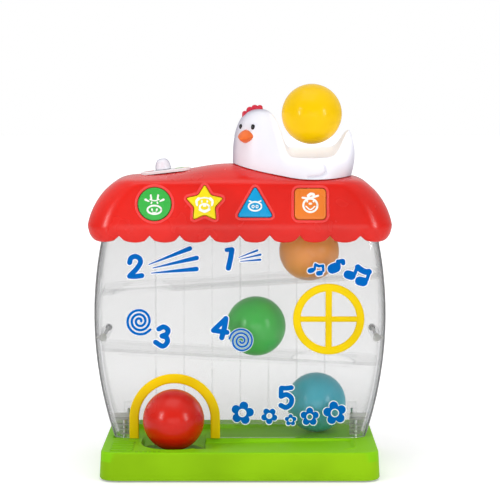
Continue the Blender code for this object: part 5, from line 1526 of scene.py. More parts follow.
@dataclass
class Hen:
    """White hen whose hollow back opens into the chute; its sections go round the chute's axis."""

    roof: Roof
    foot: float = 39.5 * MM
    throat: float = 27.4 * MM
    throat_top: float = 250 * MM
    throat_foot: float = 246.3 * MM
    head_x: float = 15.5 * MM
    head_top: float = 295.4 * MM
    tail_top: float = 278 * MM
    face_turn: float = math.radians(32)
    beak_z: float = 273.2 * MM
    beak: tuple[float, float, float] = (7.0 * MM, 5.6 * MM, 8.8 * MM)
    eye_z: float = 281 * MM
    eye_turn: float = math.radians(19)
    eye: tuple[float, float, float] = (1.7 * MM, 2.3 * MM, 1.2 * MM)
    comb_turn: float = math.radians(72)
    comb_lobes: tuple[Point, ...] = ((12.2, 2.2), (7.8, 2.6), (3.4, 2.9), (-1.0, 2.6))
    comb_span: tuple[float, float] = (-3.55 * MM, 14.35 * MM)
    groove: tuple[float, float] = (2.1 * MM, 1.2 * MM)
    columns: int = 300
    outer_rows: int = 40

    def swell(self, angle: Array, centre: float, spread: float, power: float) -> Array:
        """Bump exp(-(away/spread)^power) of an angle in degrees about a centre."""
        away = np.abs((angle - centre + 180) % 360 - 180)
        return np.exp(-((away / spread) ** power))

    def section(self, angle: Array) -> tuple[Array, Array, Array, Array, Array]:
        """The hen's measures round the chute: each is a base value with bumps at breast, head and tail.

        Args:
            angle: directions in degrees, 0 to the tail and 180 to the breast.

        Returns:
            Foot radius, crest radius, crest height, roundness and tail bulge at each angle.
        """
        breast = self.swell(angle, 180, 34, 2.4)
        head = self.swell(angle, 180, 41.5, 4.4)
        tail = self.swell(angle, 0, 44, 3.5)
        foot = self.foot + 26.2 * MM * breast - 6.5 * MM * self.swell(angle, 0, 44, 2)
        crest = (32.5 + 10.5 * self.swell(angle, 180, 34, 2) - 1.5 * tail) * MM
        rim = (256 + 3.5 * (1 + np.sin(np.radians(angle)))) * MM
        height = rim + (self.head_top - rim) * head + (self.tail_top - rim) * tail
        return foot, crest, height, 2.2 + 0.4 * breast, 3 * MM * tail

    def seat(self, radius: Array, angle: Array) -> Array:
        """Height of the roof's top under a place, with a hair of room."""
        x = CHUTE_X + radius * np.cos(np.radians(angle))
        return self.roof.top(x, radius * np.sin(np.radians(angle))) + 0.7 * MM

    def skin(self) -> Array:
        """Rows from the foot over the crest and down the throat.

        The outside is a superellipse from foot to crest, out^p + up^p = 1, and the throat a quarter ellipse.

        Returns:
            A grid of rows, points and 3.
        """
        angle = np.linspace(0, 360, self.columns, endpoint=False)
        foot, crest, height, power, bulge = self.section(angle)
        low = self.seat(foot, angle)
        turn = np.radians(np.linspace(0, 90, self.outer_rows))[:, None]
        out = np.cos(turn).clip(1e-9) ** (2 / power)
        up = np.sin(turn) ** (2 / power)
        radius = crest + (foot - crest) * out + bulge * np.sin(math.pi * up)
        level = low + (height - low) * up
        turn = np.radians(np.linspace(90, 0, 26))[1:, None]
        throat = crest - (crest - self.throat) * np.cos(turn)
        down = self.throat_top + (height - self.throat_top) * np.sin(turn)
        radius = np.concatenate((radius, throat, np.full((1, self.columns), self.throat)))
        level = np.concatenate((level, down, np.full((1, self.columns), self.throat_foot)))
        radius = radius - self.relief(radius, level, angle)
        turn = np.radians(angle)
        return np.stack((CHUTE_X + radius * np.cos(turn), HOUSING_Y + radius * np.sin(turn), level), -1)

    def relief(self, radius: Array, level: Array, angle: Array) -> Array:
        """Depth of the grooves that mark wing and tail: a Gaussian of the distance to a line, front and back.

        Args:
            radius: distance of each point from the chute's axis.
            level: height of each point.
            angle: direction of each column, in degrees.

        Returns:
            How far each point is drawn in.
        """
        tail = mm((84, 273), (81.5, 266), (77, 260), (70, 256.6), (65.5, 255))
        wing = mm((70.4, 250), (70.6, 244.5), (66, 241.4), (56, 240.6))
        line = np.concatenate((tail, wing))
        x = CHUTE_X + radius * np.cos(np.radians(angle))
        away = np.full(x.shape, 1.0)
        for start, stop in zip(line[:-1], line[1:]):
            side = stop - start
            share = ((x - start[0]) * side[0] + (level - start[1]) * side[1]) / (side @ side)
            share = np.clip(share, 0, 1)
            beside = np.hypot(x - start[0] - share * side[0], level - start[1] - share * side[1])
            away = np.minimum(away, beside)
        outside = (np.arange(radius.shape[0]) < self.outer_rows - 4)[:, None]
        flank = rise((np.abs(np.sin(np.radians(angle))) - 0.2) / 0.2)
        depth, spread = self.groove
        return depth * np.exp(-((away / spread) ** 2)) * outside * flank

    def height(self, x: Array, y: Array) -> Array:
        """Height of the outside over a place, from the same sections.

        Args:
            x: places across the toy.
            y: places along its depth.

        Returns:
            The height at each place.
        """
        across, deep = x - CHUTE_X, y - HOUSING_Y
        radius = np.hypot(across, deep)
        angle = np.degrees(np.arctan2(deep, across))
        foot, crest, height, power, _bulge = self.section(angle)
        low = self.seat(foot, angle)
        share = np.clip((radius - crest) / (foot - crest), 0, 1)
        outer = low + (height - low) * (1 - share**power) ** (1 / power)
        inner = np.clip((crest - radius) / (crest - self.throat), 0, 1)
        throat = self.throat_top + (height - self.throat_top) * np.sqrt(1 - inner**2)
        return np.where(radius >= crest, outer, throat)

    def ray(self, turn: float, z: float, reach: Array) -> tuple[Array, Array]:
        """Points on a level line from the head's middle, and its direction, turned left from ahead."""
        ahead = np.array((-math.sin(turn), -math.cos(turn), 0.0))
        return np.array((self.head_x, HOUSING_Y, z)) + reach[:, None] * ahead, ahead

    def head_frame(self, turn: float, z: float) -> Frame:
        """Axes on the head's surface, where a level line from its middle comes out.

        Args:
            turn: the line's direction, turned left from straight ahead.
            z: its height.

        Returns:
            The axes, with the line's direction as out.
        """
        spots, ahead = self.ray(turn, z, np.linspace(0, 45 * MM, 900))
        inside = self.height(spots[:, 0], spots[:, 1]) > z
        spot = spots[int(np.argmin(inside)) if not inside.all() else -1]
        return Frame(spot, np.cross(UP, ahead), UP, ahead)

    def egg(
        self,
        place: Frame,
        sizes: tuple[float, float, float],
        droop: float = 0.0,
        point: float = 1.0,
        pinch: float = 1.0,
    ) -> Array:
        """An egg: a sphere drawn out along each axis, narrowed towards its tip and drooping with the square.

        Args:
            place: its centre and axes.
            sizes: its half sizes along, up and out.
            droop: how far the tip hangs, as a share of the out size.
            point: the tip's width as a share of the middle's.
            pinch: power of the cosine and sine of its section: above 1 it has corners at the sides.

        Returns:
            Its rings of points.
        """
        turn = around(40)
        along = np.sign(np.cos(turn)) * np.abs(np.cos(turn)) ** pinch
        up = np.sign(np.sin(turn)) * np.abs(np.sin(turn)) ** pinch
        fall = np.linspace(0.02, math.pi - 0.02, 24)[:, None]
        w = np.cos(fall) * sizes[2]
        narrow = 1 - (1 - point) * np.clip(np.cos(fall), 0, 1) ** 1.5
        u = np.sin(fall) * along * sizes[0] * narrow
        v = np.sin(fall) * up * sizes[1] * narrow
        return place.at(u, v - droop * np.clip(w, 0, None) ** 2 / sizes[2], w + 0 * turn)

    def comb(self) -> Surface:
        """Crest of lobes: its top is the highest of the lobes' circles, its section a rounded band.

        Returns:
            The crest, standing on the head.
        """
        lobes = mm(*self.comb_lobes)
        s = np.linspace(*self.comb_span, 150)
        spots, ahead = self.ray(self.comb_turn, 0.0, s)
        ground = self.height(spots[:, 0], spots[:, 1])
        centres, _ahead = self.ray(self.comb_turn, 0.0, lobes[:, 0])
        middle = self.height(centres[:, 0], centres[:, 1]) + lobes[:, 1] * 0.3
        under = np.clip(lobes[None, :, 1] ** 2 - (s[:, None] - lobes[None, :, 0]) ** 2, 0, None)
        each = np.where(under > 0, middle + np.sqrt(under), 0)
        top = np.maximum(each.max(1), ground + 0.2 * MM)
        top[2:-2] = np.convolve(top, np.array((1, 2, 3, 2, 1)) / 9, "valid")
        base = ground - 2.5 * MM
        turn = np.linspace(0, math.pi, 19)
        ends = np.clip(np.minimum(s - s[0], s[-1] - s) / (2 * MM), 0.02, 1) ** 0.5
        wide = 2.2 * MM * np.sign(np.cos(turn)) * np.abs(np.cos(turn)) ** 0.7
        rows = spots[:, None] + (ends[:, None] * wide)[..., None] * np.cross(UP, ahead)
        rows[..., 2] = base[:, None] + (top - base)[:, None] * np.sin(turn) ** 0.55
        return Surface().rings(rows)

    def build(self) -> None:
        """Make the body, comb, beak and eyes."""
        body = Surface().grid(self.skin(), round_rows=True, round_columns=True)
        body.piece("hen_skin", Finishes.WHITE, ("hen_body",), "white_plastic", crease=50)
        self.comb().piece("hen_crest", Finishes.COMB, ("hen_comb",), "crimson_plastic", crease=60)
        place = self.head_frame(self.face_turn - math.radians(3), self.beak_z)
        beak = Surface().rings(self.egg(place, self.beak, 0.25, 0.5, 1.35))
        beak.piece("hen_bill", Finishes.BEAK, ("hen_beak",), "orange_plastic", crease=60)
        for name, side in (("left", 1), ("right", -1)):
            place = self.head_frame(self.face_turn + side * self.eye_turn, self.eye_z)
            eye = Surface().rings(self.egg(place, self.eye))
            eye.piece(f"eye_{name}", Finishes.EYE, (f"hen_eye_{name}",), "black_plastic", crease=60)


@dataclass
class Ball:
    """A moulded ball with a fine seam where its halves meet; its centre is in millimetres."""

    name: str
    centre: tuple[float, float, float]
    finish: Finishes
    tilt: float = 0.4
    seam: float = 0.12 * MM

    def build(self) -> None:
        """Make the sphere: a grid of two angles, drawn in by a Gaussian groove at the seam."""
        turn = around(128)
        fall = np.linspace(0.004, math.pi - 0.004, 97)[:, None]
        radius = BALL_RADIUS - self.seam * np.exp(-(((fall - math.pi / 2) / 0.012) ** 2))
        x = radius * np.sin(fall) * np.cos(turn)
        y = radius * np.sin(fall) * np.sin(turn)
        z = radius * np.cos(fall) + 0 * turn
        c, s = math.cos(self.tilt), math.sin(self.tilt)
        points = np.stack((x * c + z * s, y, z * c - x * s), -1) + mm(*self.centre)
        name = f"{self.name}_ball"
        made = Surface().rings(points)
        made.piece(f"{name}_skin", self.finish, (f"ball_{self.name}",), body=name, crease=70)


@dataclass
class Housing:
    """Clear barrel-sided walls in two halves, with bosses, ledges and planks."""

    half_width: float = 121 * MM
    half_depth: float = 30 * MM
    bulge: float = 318 * MM
    bulge_z: float = 124 * MM
    wall: float = 2 * MM
    corner_radius: float = 12 * MM
    foot: float = 24.3 * MM
    top: float = 203 * MM
    door: float = 31.3 * MM
    post_x: float = 96 * MM
    bracket_levels: tuple[float, ...] = (26.4 * MM, 30.0 * MM, 33.6 * MM, 38.6 * MM)
    bracket_x: float = 91 * MM
    planks: int = 7
    plank: float = 24.2 * MM

    def width_at(self, z: Any) -> Array:
        """Half width: an arc of the bulge's radius about its height."""
        return self.half_width - self.bulge + np.sqrt(self.bulge**2 - (np.asarray(z) - self.bulge_z) ** 2)

    def sheet(self, inset: float) -> Array:
        """Levels, and at each the points round half the plan.

        Args:
            inset: how far the sheet is drawn in.

        Returns:
            A grid of rows, points and 3.
        """
        rows = []
        depth, radius = self.half_depth - inset, self.corner_radius - inset
        for z in np.linspace(self.foot, self.top, 46):
            half = float(self.width_at(z)) - inset
            side = np.stack((np.full(4, -half), np.linspace(GAP / 2, depth - radius, 4)), -1)[:-1]
            left = np.concatenate((side, arc((radius - half, depth - radius), radius, 180, 90, 16)))
            front = np.stack((np.linspace(radius - half, half - radius, 30)[1:-1], np.full(28, depth)), -1)
            plan = np.concatenate((left, front, (left * (-1, 1))[::-1]))
            rows.append(np.column_stack((plan, np.full(len(plan), z))))
        return np.stack(rows)

    def bosses(self, end: int, troughs: list[Trough]) -> Surface:
        """Bosses for the side and corner screws, and the ledges that carry the troughs.

        Args:
            end: -1 for the front half, 1 for the back.
            troughs: what the ledges carry.

        Returns:
            All of them, for one half.
        """
        made = Surface()
        inner = self.half_depth - self.wall
        for side in (-1, 1):
            boss = mm((1.6, 0.3), (3.9, 0.3), (4.2, 0.6), (4.2, 28.2), (1.6, 28.2))
            turned(made, boss, 32, wall_frame(side * SIDE_SCREW_X, HOUSING_Y, SIDE_SCREW_Z, end))
            post = mm((1.6, 24.4), (4.2, 24.4), (4.2, 43.7), (3.6, 44.3), (1.6, 44.3))
            turned(made, post, 32, level_frame(side * self.post_x, HOUSING_Y + end * 24.2 * MM, 0.0))
            web = wall_frame(side * (SIDE_SCREW_X + 3.2 * MM), HOUSING_Y, SIDE_SCREW_Z, end)
            plate(made, rounded_box(3.4 * MM, 0.8 * MM, 0.6 * MM, 4), [(0.0, 0.4 * MM), (0.0, inner)], web)
        section = mm((0.2, 0.0), (-1.7, 0.0), (-1.7, -1.6), (-0.9, -2.0), (0.2, -2.0))
        section[:, 0] = HOUSING_Y + end * (inner + section[:, 0])
        for trough in troughs:
            made.rings(trough.strip(mm((-100,), (100,)), section - (0, 2.1 * MM)))
        return made

    def corner(self, side: int, z: float, radius: float, low: float, high: float) -> Array:
        """Points of an arc in a front corner.

        Args:
            side: -1 for the left corner, 1 for the right.
            z: its height.
            radius: the arc's radius about the corner's centre.
            low: its first angle in degrees, from the side towards the front.
            high: its last angle.

        Returns:
            Nine points.
        """
        turn = np.radians(np.linspace(low, high, 9))
        x = side * (float(self.width_at(z)) - self.corner_radius + radius * np.cos(turn))
        y = HOUSING_Y - (self.half_depth - self.corner_radius) - radius * np.sin(turn)
        return np.column_stack((x, y, np.full(9, z)))

    def brackets(self) -> Surface:
        """Ribs across the foot of each front corner with a web behind them, and a ring at each side boss.

        Returns:
            All of them.
        """
        made = Surface()
        back = HOUSING_Y - 22.4 * MM
        for side in (-1, 1):
            ribs = [(z, z + 1.5 * MM, 4.8 * MM) for z in self.bracket_levels]
            for low, high, deep in (*ribs, (self.bracket_levels[0], 44 * MM, 0.6 * MM)):
                rows = []
                for z in (low, high):
                    bend = self.corner(side, z, self.corner_radius - 2.4 * MM, 27.5, 82)
                    inner = np.clip(bend, (-np.inf, back - deep, -np.inf), np.inf)
                    near = [(side * self.bracket_x, y, z) for y in (float(inner[-1, 1]), back)]
                    rows.append(np.concatenate((inner, near)))
                made.rings(np.stack(rows))
            rim = mm((1.7, 26.4), (3.2, 26.4), (3.2, 28.0), (1.7, 28.0))
            turned(made, rim, 32, wall_frame(side * SIDE_SCREW_X, HOUSING_Y, SIDE_SCREW_Z))
            bar = wall_frame(side * (SIDE_SCREW_X + 4.2 * MM), HOUSING_Y, SIDE_SCREW_Z)
            ends = [(0.0, 26.4 * MM), (0.0, 28.0 * MM)]
            plate(made, rounded_box(1.5 * MM, 0.7 * MM, 0.4 * MM, 4), ends, bar)
        return made

    def edges(self) -> Surface:
        """A thin dark layer of painted shade within each front corner: seen along the wall, where the plastic
        looks dark.

        Returns:
            Both layers.
        """
        made = Surface()
        for side in (-1, 1):
            rows = []
            for z in np.linspace(self.foot + 0.5 * MM, self.top - 0.5 * MM, 40):
                radii = self.corner_radius - mm(0.4, 0.8)
                outer, inner = (self.corner(side, z, radius, 3, 34) for radius in radii)
                rows.append(np.concatenate((outer, inner[::-1])))
            made.rings(np.stack(rows))
        return made

    def ribs(self) -> Surface:
        """Low ribs down the outside of the back wall, each a bead with rounded edges.

        Returns:
            One rib between each two planks.
        """
        made = Surface()
        y = HOUSING_Y + self.half_depth
        for x in (np.arange(self.planks) - self.planks // 2) * self.plank:
            path = np.array(((x, y, 28.3 * MM), (x, y, 189 * MM)))
            swept(made, path, np.tile(ALONG, (2, 1)), DEEP, bead(0.8 * MM, 0.5 * MM, 0.3 * MM, 3), False)
        return made

    def build(self, troughs: list[Trough]) -> None:
        """Make both halves, open the door, and add what stands on the walls.

        Args:
            troughs: what the ledges carry.
        """
        front = two_sheets(self, -1).piece("front_wall", Finishes.CLEAR, ("housing_front",), "clear_plastic")
        door = arc((DOOR_X, DOOR_ARCH_Z), self.door, 0, 180, 48)
        door = np.concatenate((door, [(DOOR_X + side * self.door, 19 * MM) for side in (-1, 1)]))
        cuts = Surface()
        plate(cuts, door, [(0.0, -4 * MM), (0.0, 5 * MM)], wall_frame(0.0, WALL_FRONT, 0.0))
        carve(front, cuts)
        two_sheets(self, 1).piece("back_wall", Finishes.BACK_CLEAR, ("housing_back",), "clear_plastic")
        for name, end in (("front", -1), ("back", 1)):
            self.bosses(end, troughs).piece(f"{name}_bosses", Finishes.TROUGH_CLEAR, slot="clear_plastic")
        self.ribs().piece("plank_ribs", Finishes.RIB_CLEAR, slot="clear_plastic")
        self.brackets().piece("corner_brackets", Finishes.BRACKET_CLEAR, slot="clear_plastic")
        # Painted shade: dark layers that draw the corners' edge line
        self.edges().piece("corner_edge_shades", Finishes.EDGE_SHADE, slot="clear_plastic")


@dataclass
class Doorway:
    """Yellow arch round the ball door: a rounded band before the wall and a liner through it."""

    radius: float = 29.6 * MM
    band: float = 7.9 * MM
    foot: float = 24.3 * MM
    liner: tuple[Point, ...] = ((-3.95, -2.1), (-2.55, -2.1), (-2.55, 0.1), (-3.95, 0.1))

    def path(self, radius: float) -> Array:
        """The arch's line: up one side, half a circle and down the other.

        Args:
            radius: the half circle's radius.

        Returns:
            Its points.
        """
        bend = arc((DOOR_X, DOOR_ARCH_Z), radius, 0, 180, 72)
        line = np.concatenate(([(DOOR_X + radius, self.foot)], bend, [(DOOR_X - radius, self.foot)]))
        return np.stack((line[:, 0], np.zeros(len(line)), line[:, 1]), -1)

    def build(self) -> None:
        """Sweep the band and the liner along the arch."""
        made = Surface()
        path = self.path(self.radius + self.band / 2)
        aside = path - np.array((DOOR_X, 0, DOOR_ARCH_Z))
        aside[[0, -1]] = aside[[1, -2]]
        aside /= np.linalg.norm(aside, axis=1, keepdims=True)
        path = path + (WALL_FRONT - GAP) * DEEP
        swept(made, path, aside, -DEEP, bead(self.band / 2, 1.6 * MM, 1.1 * MM), False)
        swept(made, path, aside, -DEEP, mm(*self.liner), False)
        made.piece("arch_band", Finishes.YELLOW, ("door_arch",), "yellow_plastic")


@dataclass
class Window:
    """Round yellow window frame with a cross."""

    x: float = 73 * MM
    z: float = 123.6 * MM
    radius: float = 29.4 * MM
    band: float = 6.4 * MM
    height: float = 1.5 * MM
    upright: tuple[float, float] = (2.7 * MM, 1.35 * MM)
    level: tuple[float, float] = (2.3 * MM, 1.2 * MM)

    def build(self) -> None:
        """Sweep the ring round its centre and lay two rounded bars across."""
        made = Surface()
        turn = around(96)
        aside = np.stack((np.cos(turn), 0 * turn, np.sin(turn)), -1)
        centre = np.array((self.x, WALL_FRONT - GAP, self.z))
        path = centre + (self.radius - self.band / 2) * aside
        swept(made, path, aside, -DEEP, bead(self.band / 2, self.height, 1.1 * MM), True)
        reach = self.radius - self.band * 0.8
        for line, (half, height) in ((UP, self.upright), (ALONG, self.level)):
            ends = centre + np.array((-reach, reach))[:, None] * line
            across = np.tile(np.cross(line, -DEEP), (2, 1))
            swept(made, ends, across, -DEEP, bead(half, height, 0.9 * MM), False)
        made.piece("window_ring", Finishes.YELLOW, ("window_frame",), "yellow_plastic")


@dataclass
class Base:
    """Green base: its top is one height over the plan, with dish, trough, channel and ribbed patches."""

    half_width: float = 112.6 * MM
    half_depth: float = 68.5 * MM
    top: float = 24 * MM
    corner: float = 14 * MM
    draft: float = 1.2 * MM
    edge: float = 1.6 * MM
    dish_floor: float = 18.2 * MM
    dish_flat: float = 17 * MM
    dish_lip: float = 26.7 * MM
    trough_right: float = 93 * MM
    trough_half: float = 21 * MM
    trough_corner: float = 9 * MM
    channel_half: float = 28 * MM
    lane_half: float = 26.2 * MM
    ridge: float = 0.5 * MM

    def hollow(self, floor: Any, inside: Array, soft: float) -> Array:
        """From the top down to a floor, by a smooth step over a soft edge within the outline."""
        return self.top - (self.top - floor) * rise(inside / soft)

    def trough_outline(self, x: Array, y: Array) -> Array:
        """How far places lie outside the front trough, which is a rectangle with a round right end.

        Args:
            x: places across the toy.
            y: places along its depth.

        Returns:
            The distance from the corner circles' centre line.
        """
        ahead = np.abs(y - DISH_Y) - (self.trough_half - self.trough_corner)
        beside = x - (self.trough_right - self.trough_corner)
        corner = np.hypot(np.clip(ahead, 0, None), np.clip(beside, 0, None))
        return corner + np.minimum(np.maximum(ahead, beside), 0)

    def height(self, x: Array, y: Array) -> Array:
        """Height of the top: the least of the flat top and each hollow, plus the ribs and ridges.

        Args:
            x: places across the toy.
            y: places along its depth.

        Returns:
            The height at each place.
        """
        dish = np.hypot(x - DOOR_X, y - DISH_Y)
        bowl = self.dish_floor + 5.9 * MM * np.clip((dish - self.dish_flat) / (8.5 * MM), 0, None) ** 2.6
        z = np.minimum(self.top, bowl)
        out = self.trough_outline(x, y)
        floor = 19.2 * MM + 3.2 * MM * (x - DOOR_X) / (self.trough_right - DOOR_X)
        trough = self.hollow(floor, self.trough_corner - out, 3.2 * MM)
        z = np.where(x > DOOR_X, np.minimum(z, trough), z)
        floor = 19.4 * MM + np.abs(x - DOOR_X) * 0.034
        within = np.minimum(self.channel_half - np.abs(y - HOUSING_Y), x + 105 * MM)
        channel = self.hollow(floor, within, 1.2 * MM)
        z = np.minimum(z, np.where(within > 0, channel, self.top))
        lane = self.lane_half - np.abs(x - DOOR_X)
        floor = 18.3 * MM + 2.3 * MM * np.clip((y - DISH_Y) / (78 * MM), 0, 1)
        path = self.hollow(floor, lane, 1.2 * MM)
        door = (y > DISH_Y) & (y < HOUSING_Y + self.channel_half) & (lane > 0)
        z = np.where(door, np.minimum(z, path), z)
        z = z + DOOR_MAT.relief(x, y, y) + FRONT_STRIP.relief(x, y, x)
        lip = np.exp(-(((dish - self.dish_lip) / (0.8 * MM)) ** 2)) * (y < DISH_Y + 18 * MM)
        right_end = (x > self.trough_right - self.trough_corner) & (y < HOUSING_Y - 31 * MM)
        end = np.exp(-(((out - self.trough_corner - 0.7 * MM) / (0.7 * MM)) ** 2)) * right_end
        return z + self.ridge * (lip + end)

    def plan(self, inset: float, across: Array, deep: Array) -> tuple[Array, Array]:
        """Stretch a square grid of -1 to 1 over the rounded rectangle drawn in by an inset.

        Args:
            inset: how far it is drawn in.
            across: the grid's first coordinate.
            deep: the grid's second coordinate.

        Returns:
            The places across and along the depth, in metres.
        """
        half_x, half_y = self.half_width - inset, self.half_depth - inset
        radius = max(self.corner - inset, 0.5 * MM)
        y = half_y * deep
        past = np.clip(np.abs(y) - (half_y - radius), 0, radius)
        return across * (half_x - radius + np.sqrt(radius**2 - past**2)), y

    def border(self, inset: float, z: float, across: Array, deep: Array) -> Array:
        """The grid's outer loop at an inset and a height.

        Args:
            inset: how far it is drawn in.
            z: its height.
            across: the grid's first coordinate.
            deep: the grid's second coordinate.

        Returns:
            The loop's points.
        """
        grid = np.stack(self.plan(inset, across, deep), -1)
        flat = np.concatenate((grid[0], grid[1:, -1], grid[-1, -2::-1], grid[-2:0:-1, 0]))
        return np.column_stack((flat, np.full(len(flat), z)))

    def build(self) -> None:
        """Make the tray: the top grid, the rounded edge, the sides, and the room for the cover below."""
        columns, rows = 301, 221
        deep = np.linspace(-1, 1, rows)
        deep = np.sign(deep) * (1 - (1 - np.abs(deep)) ** 1.06)
        across, deep = np.meshgrid(np.linspace(-1, 1, columns), deep)
        x, y = self.plan(self.draft + self.edge, across, deep)
        made = Surface().grid(np.stack((x, y, self.height(x, y)), -1))
        levels = [(self.draft - step, height) for step, height in rounded_edge(self.edge, self.top, 7)[::-1]]
        sides = ((0.6, 12), (0.1, 2.2), (0.7, 1.25), (1.6, 1.25), (2.3, 2.0), (2.3, 5.0))
        levels += [(inset * MM, z * MM) for inset, z in sides]
        loops = np.stack([self.border(inset, z, across, deep) for inset, z in levels])
        made.grid(loops, round_columns=True)
        made.add(loops[-1], [tuple(range(loops.shape[1]))])
        made.piece("base_skin", Finishes.GREEN, ("base_tray",), "green_plastic", crease=50)


@dataclass
class Trough:
    """A sloping trough of clear plastic, in millimetres: a shallow curve with flat flanges and a hole."""

    name: str
    ball_x: float
    edge: float
    fall: float
    depth: float
    hole_x: float
    hole: float = 26.2
    half: float = 24.0
    flange: float = 27.7
    wall: float = 1.8

    def line(self, x: Any) -> Any:
        """Height of the flanges, which fall evenly: edge + slope × distance from the ball."""
        return self.edge * MM - math.tan(math.radians(self.fall)) * (x - self.ball_x * MM)

    def dip(self, y: Array) -> Array:
        """How far the curve lies below the flanges: depth × (1 - (y/half)²)."""
        return self.depth * MM * np.clip(1 - (y / (self.half * MM)) ** 2, 0, None)

    def strip(self, x: Array, section: Array) -> Array:
        """Carry a section along the slope.

        Args:
            x: places across the toy, as a column or one for each point of the section.
            section: places along the depth, and heights above the flanges.

        Returns:
            Its rows of points.
        """
        rows = np.zeros((len(x), len(section), 3))
        rows[..., 0] = x
        rows[..., 1] = section[:, 0]
        rows[..., 2] = self.line(rows[..., 0]) + section[:, 1]
        return rows

    def channel(self, housing: Housing) -> Array:
        """The trough's own rows, which end short of the housing's side and round its corners.

        Args:
            housing: the walls that it lies between.

        Returns:
            Its rows of points.
        """
        y = mm(-self.flange, *np.linspace(-self.half, self.half, 33), self.flange)
        under = np.stack((y, -self.dip(y) - self.wall * MM), -1)[::-1]
        section = np.concatenate((np.stack((y, -self.dip(y)), -1), under))
        past = np.clip(np.abs(section[:, 0]) - 18 * MM, 0, 9.9 * MM)
        bend = 10 * MM - np.sqrt((10 * MM) ** 2 - past**2)
        reach = float(housing.width_at(self.edge * MM)) - 2.8 * MM - bend
        return self.strip(np.linspace(-1, 1, 41)[:, None] * reach, section + (HOUSING_Y, 0))

    def build(self, housing: Housing) -> None:
        """Make the trough with its hole, a grey strip of painted shade inside the front of its flange, and the
        hole's rim.

        Args:
            housing: the walls that it lies between.
        """
        slot = "clear_plastic"
        made = Surface().rings(self.channel(housing))
        piece = made.piece(f"{self.name}_trough", Finishes.TROUGH_CLEAR, (f"ramp_{self.name}",), slot)
        cuts = Surface()
        span = ((self.edge - 40) * MM, (self.edge + 40) * MM)
        bore(cuts, self.hole * MM, span, 72, level_frame(self.hole_x * MM, HOUSING_Y, 0.0))
        carve(piece, cuts)
        # Painted shade: a grey strip inside the flange's front edge draws the dark line that the edge shows
        front = float(housing.width_at(self.edge * MM)) - 11 * MM
        lip = mm((-27.3, -0.2), (-26.7, -0.2), (-26.7, -1.5), (-27.3, -1.5)) + (HOUSING_Y, 0)
        ends = Surface().rings(self.strip(np.array(((-front,), (front,))), lip))
        ends.piece(f"{self.name}_lip", Finishes.RIB_CLEAR, slot=slot)
        turn = around(72)
        aside = np.stack((np.cos(turn), np.sin(turn), 0 * turn), -1)
        path = np.array((self.hole_x * MM, HOUSING_Y, 0)) + (self.hole + 0.7) * MM * aside
        path[:, 2] = self.line(path[:, 0]) - 0.7 * MM - self.dip(path[:, 1] - HOUSING_Y)
        rim = Surface()
        swept(rim, path, aside, UP, bead(0.6 * MM, 0.6 * MM, 0.3 * MM, 3), True)
        rim.piece(f"{self.name}_hole_rim", Finishes.TROUGH_CLEAR, slot=slot)


@dataclass
class SlideSwitch:
    """Oval plate with printed ends, and the domed knob that slides in it."""

    rest: float = -2 * MM
    proud: float = 1.4 * MM
    knob: float = 6.5 * MM
    knob_foot: float = 1.9 * MM
    knob_height: float = 8.8 * MM

    def build(self, roof: Roof) -> None:
        """Make the plate with its slot, and the knob.

        Args:
            roof: the roof that it stands on.
        """
        place = roof.switch_frame()
        half_length, half_width = SWITCH_HALF
        outline = rounded_box(half_length, half_width, half_width * 0.999, 20)
        made = Surface()
        plate(made, outline, [(0.0, -1.1 * MM), *rounded_edge(0.8 * MM, self.proud)], place)
        piece = made.piece("switch_oval", Finishes.SWITCH, ("switch_plate",), "white_plastic")
        cuts = Surface()
        plate(cuts, rounded_box(*SWITCH_SLOT), [(0.0, -2 * MM), (0.0, 1.5 * MM)], place)
        carve(piece, cuts)
        turn = np.radians(np.linspace(4, 88, 22))
        height = self.knob_foot + self.knob_height * np.sin(turn)
        dome = np.stack((self.knob * np.cos(turn) ** 0.6, height), -1)
        stem = mm((2.0, -7.0), (2.0, 1.7), (5.9, 1.7), (6.4, 1.9))
        knob = Surface()
        turned(knob, np.concatenate((stem, dome)), 56, place.moved(self.rest, 0.0, 0.0))
        knob.piece("knob_dome", Finishes.WHITE, ("switch_knob",), "white_plastic", body="knob")


@dataclass
class ScrewHead:
    """A pan head with a cross recess, on its shank."""

    node: str
    place: Frame
    length: float
    body: str = "barn"
    radii: tuple[float, ...] = (0.01, 0.25, 0.5, 0.75, 1, 1.3, 1.6, 1.9, 2.2, 2.5, 2.75, 2.9, 2.9)
    heights: tuple[float, ...] = (1.8, 1.8, 1.79, 1.78, 1.76, 1.72, 1.65, 1.55, 1.4, 1.15, 0.8, 0.35, 0.0)
    recess: float = 0.9 * MM
    shank: tuple[float, float] = (1.3 * MM, 0.4 * MM)

    def build(self) -> None:
        """Turn the screw; the recess is a drop where |u| or |v| is small and both are inside its reach."""
        radius, height = mm(*self.radii)[:, None], mm(*self.heights)[:, None]
        turn = around(64)
        u, v = radius * np.cos(turn), radius * np.sin(turn)
        bar = np.maximum(*(rise((0.42 * MM - np.abs(a)) / (0.2 * MM)) for a in (u, v)))
        drop = self.recess * bar * rise((1.8 * MM - radius) / (0.4 * MM))
        wide, tip = self.shank
        shank = np.array(((wide, 0.0), (wide, 1 * MM - self.length), (tip, -self.length)))
        rows = np.concatenate((self.place.at(u, v, height - drop), lathed(shank, len(turn), self.place)))
        made = Surface().rings(rows)
        made.piece(f"{self.node}_head", Finishes.STEEL, (self.node,), "screw_steel", body=self.body)


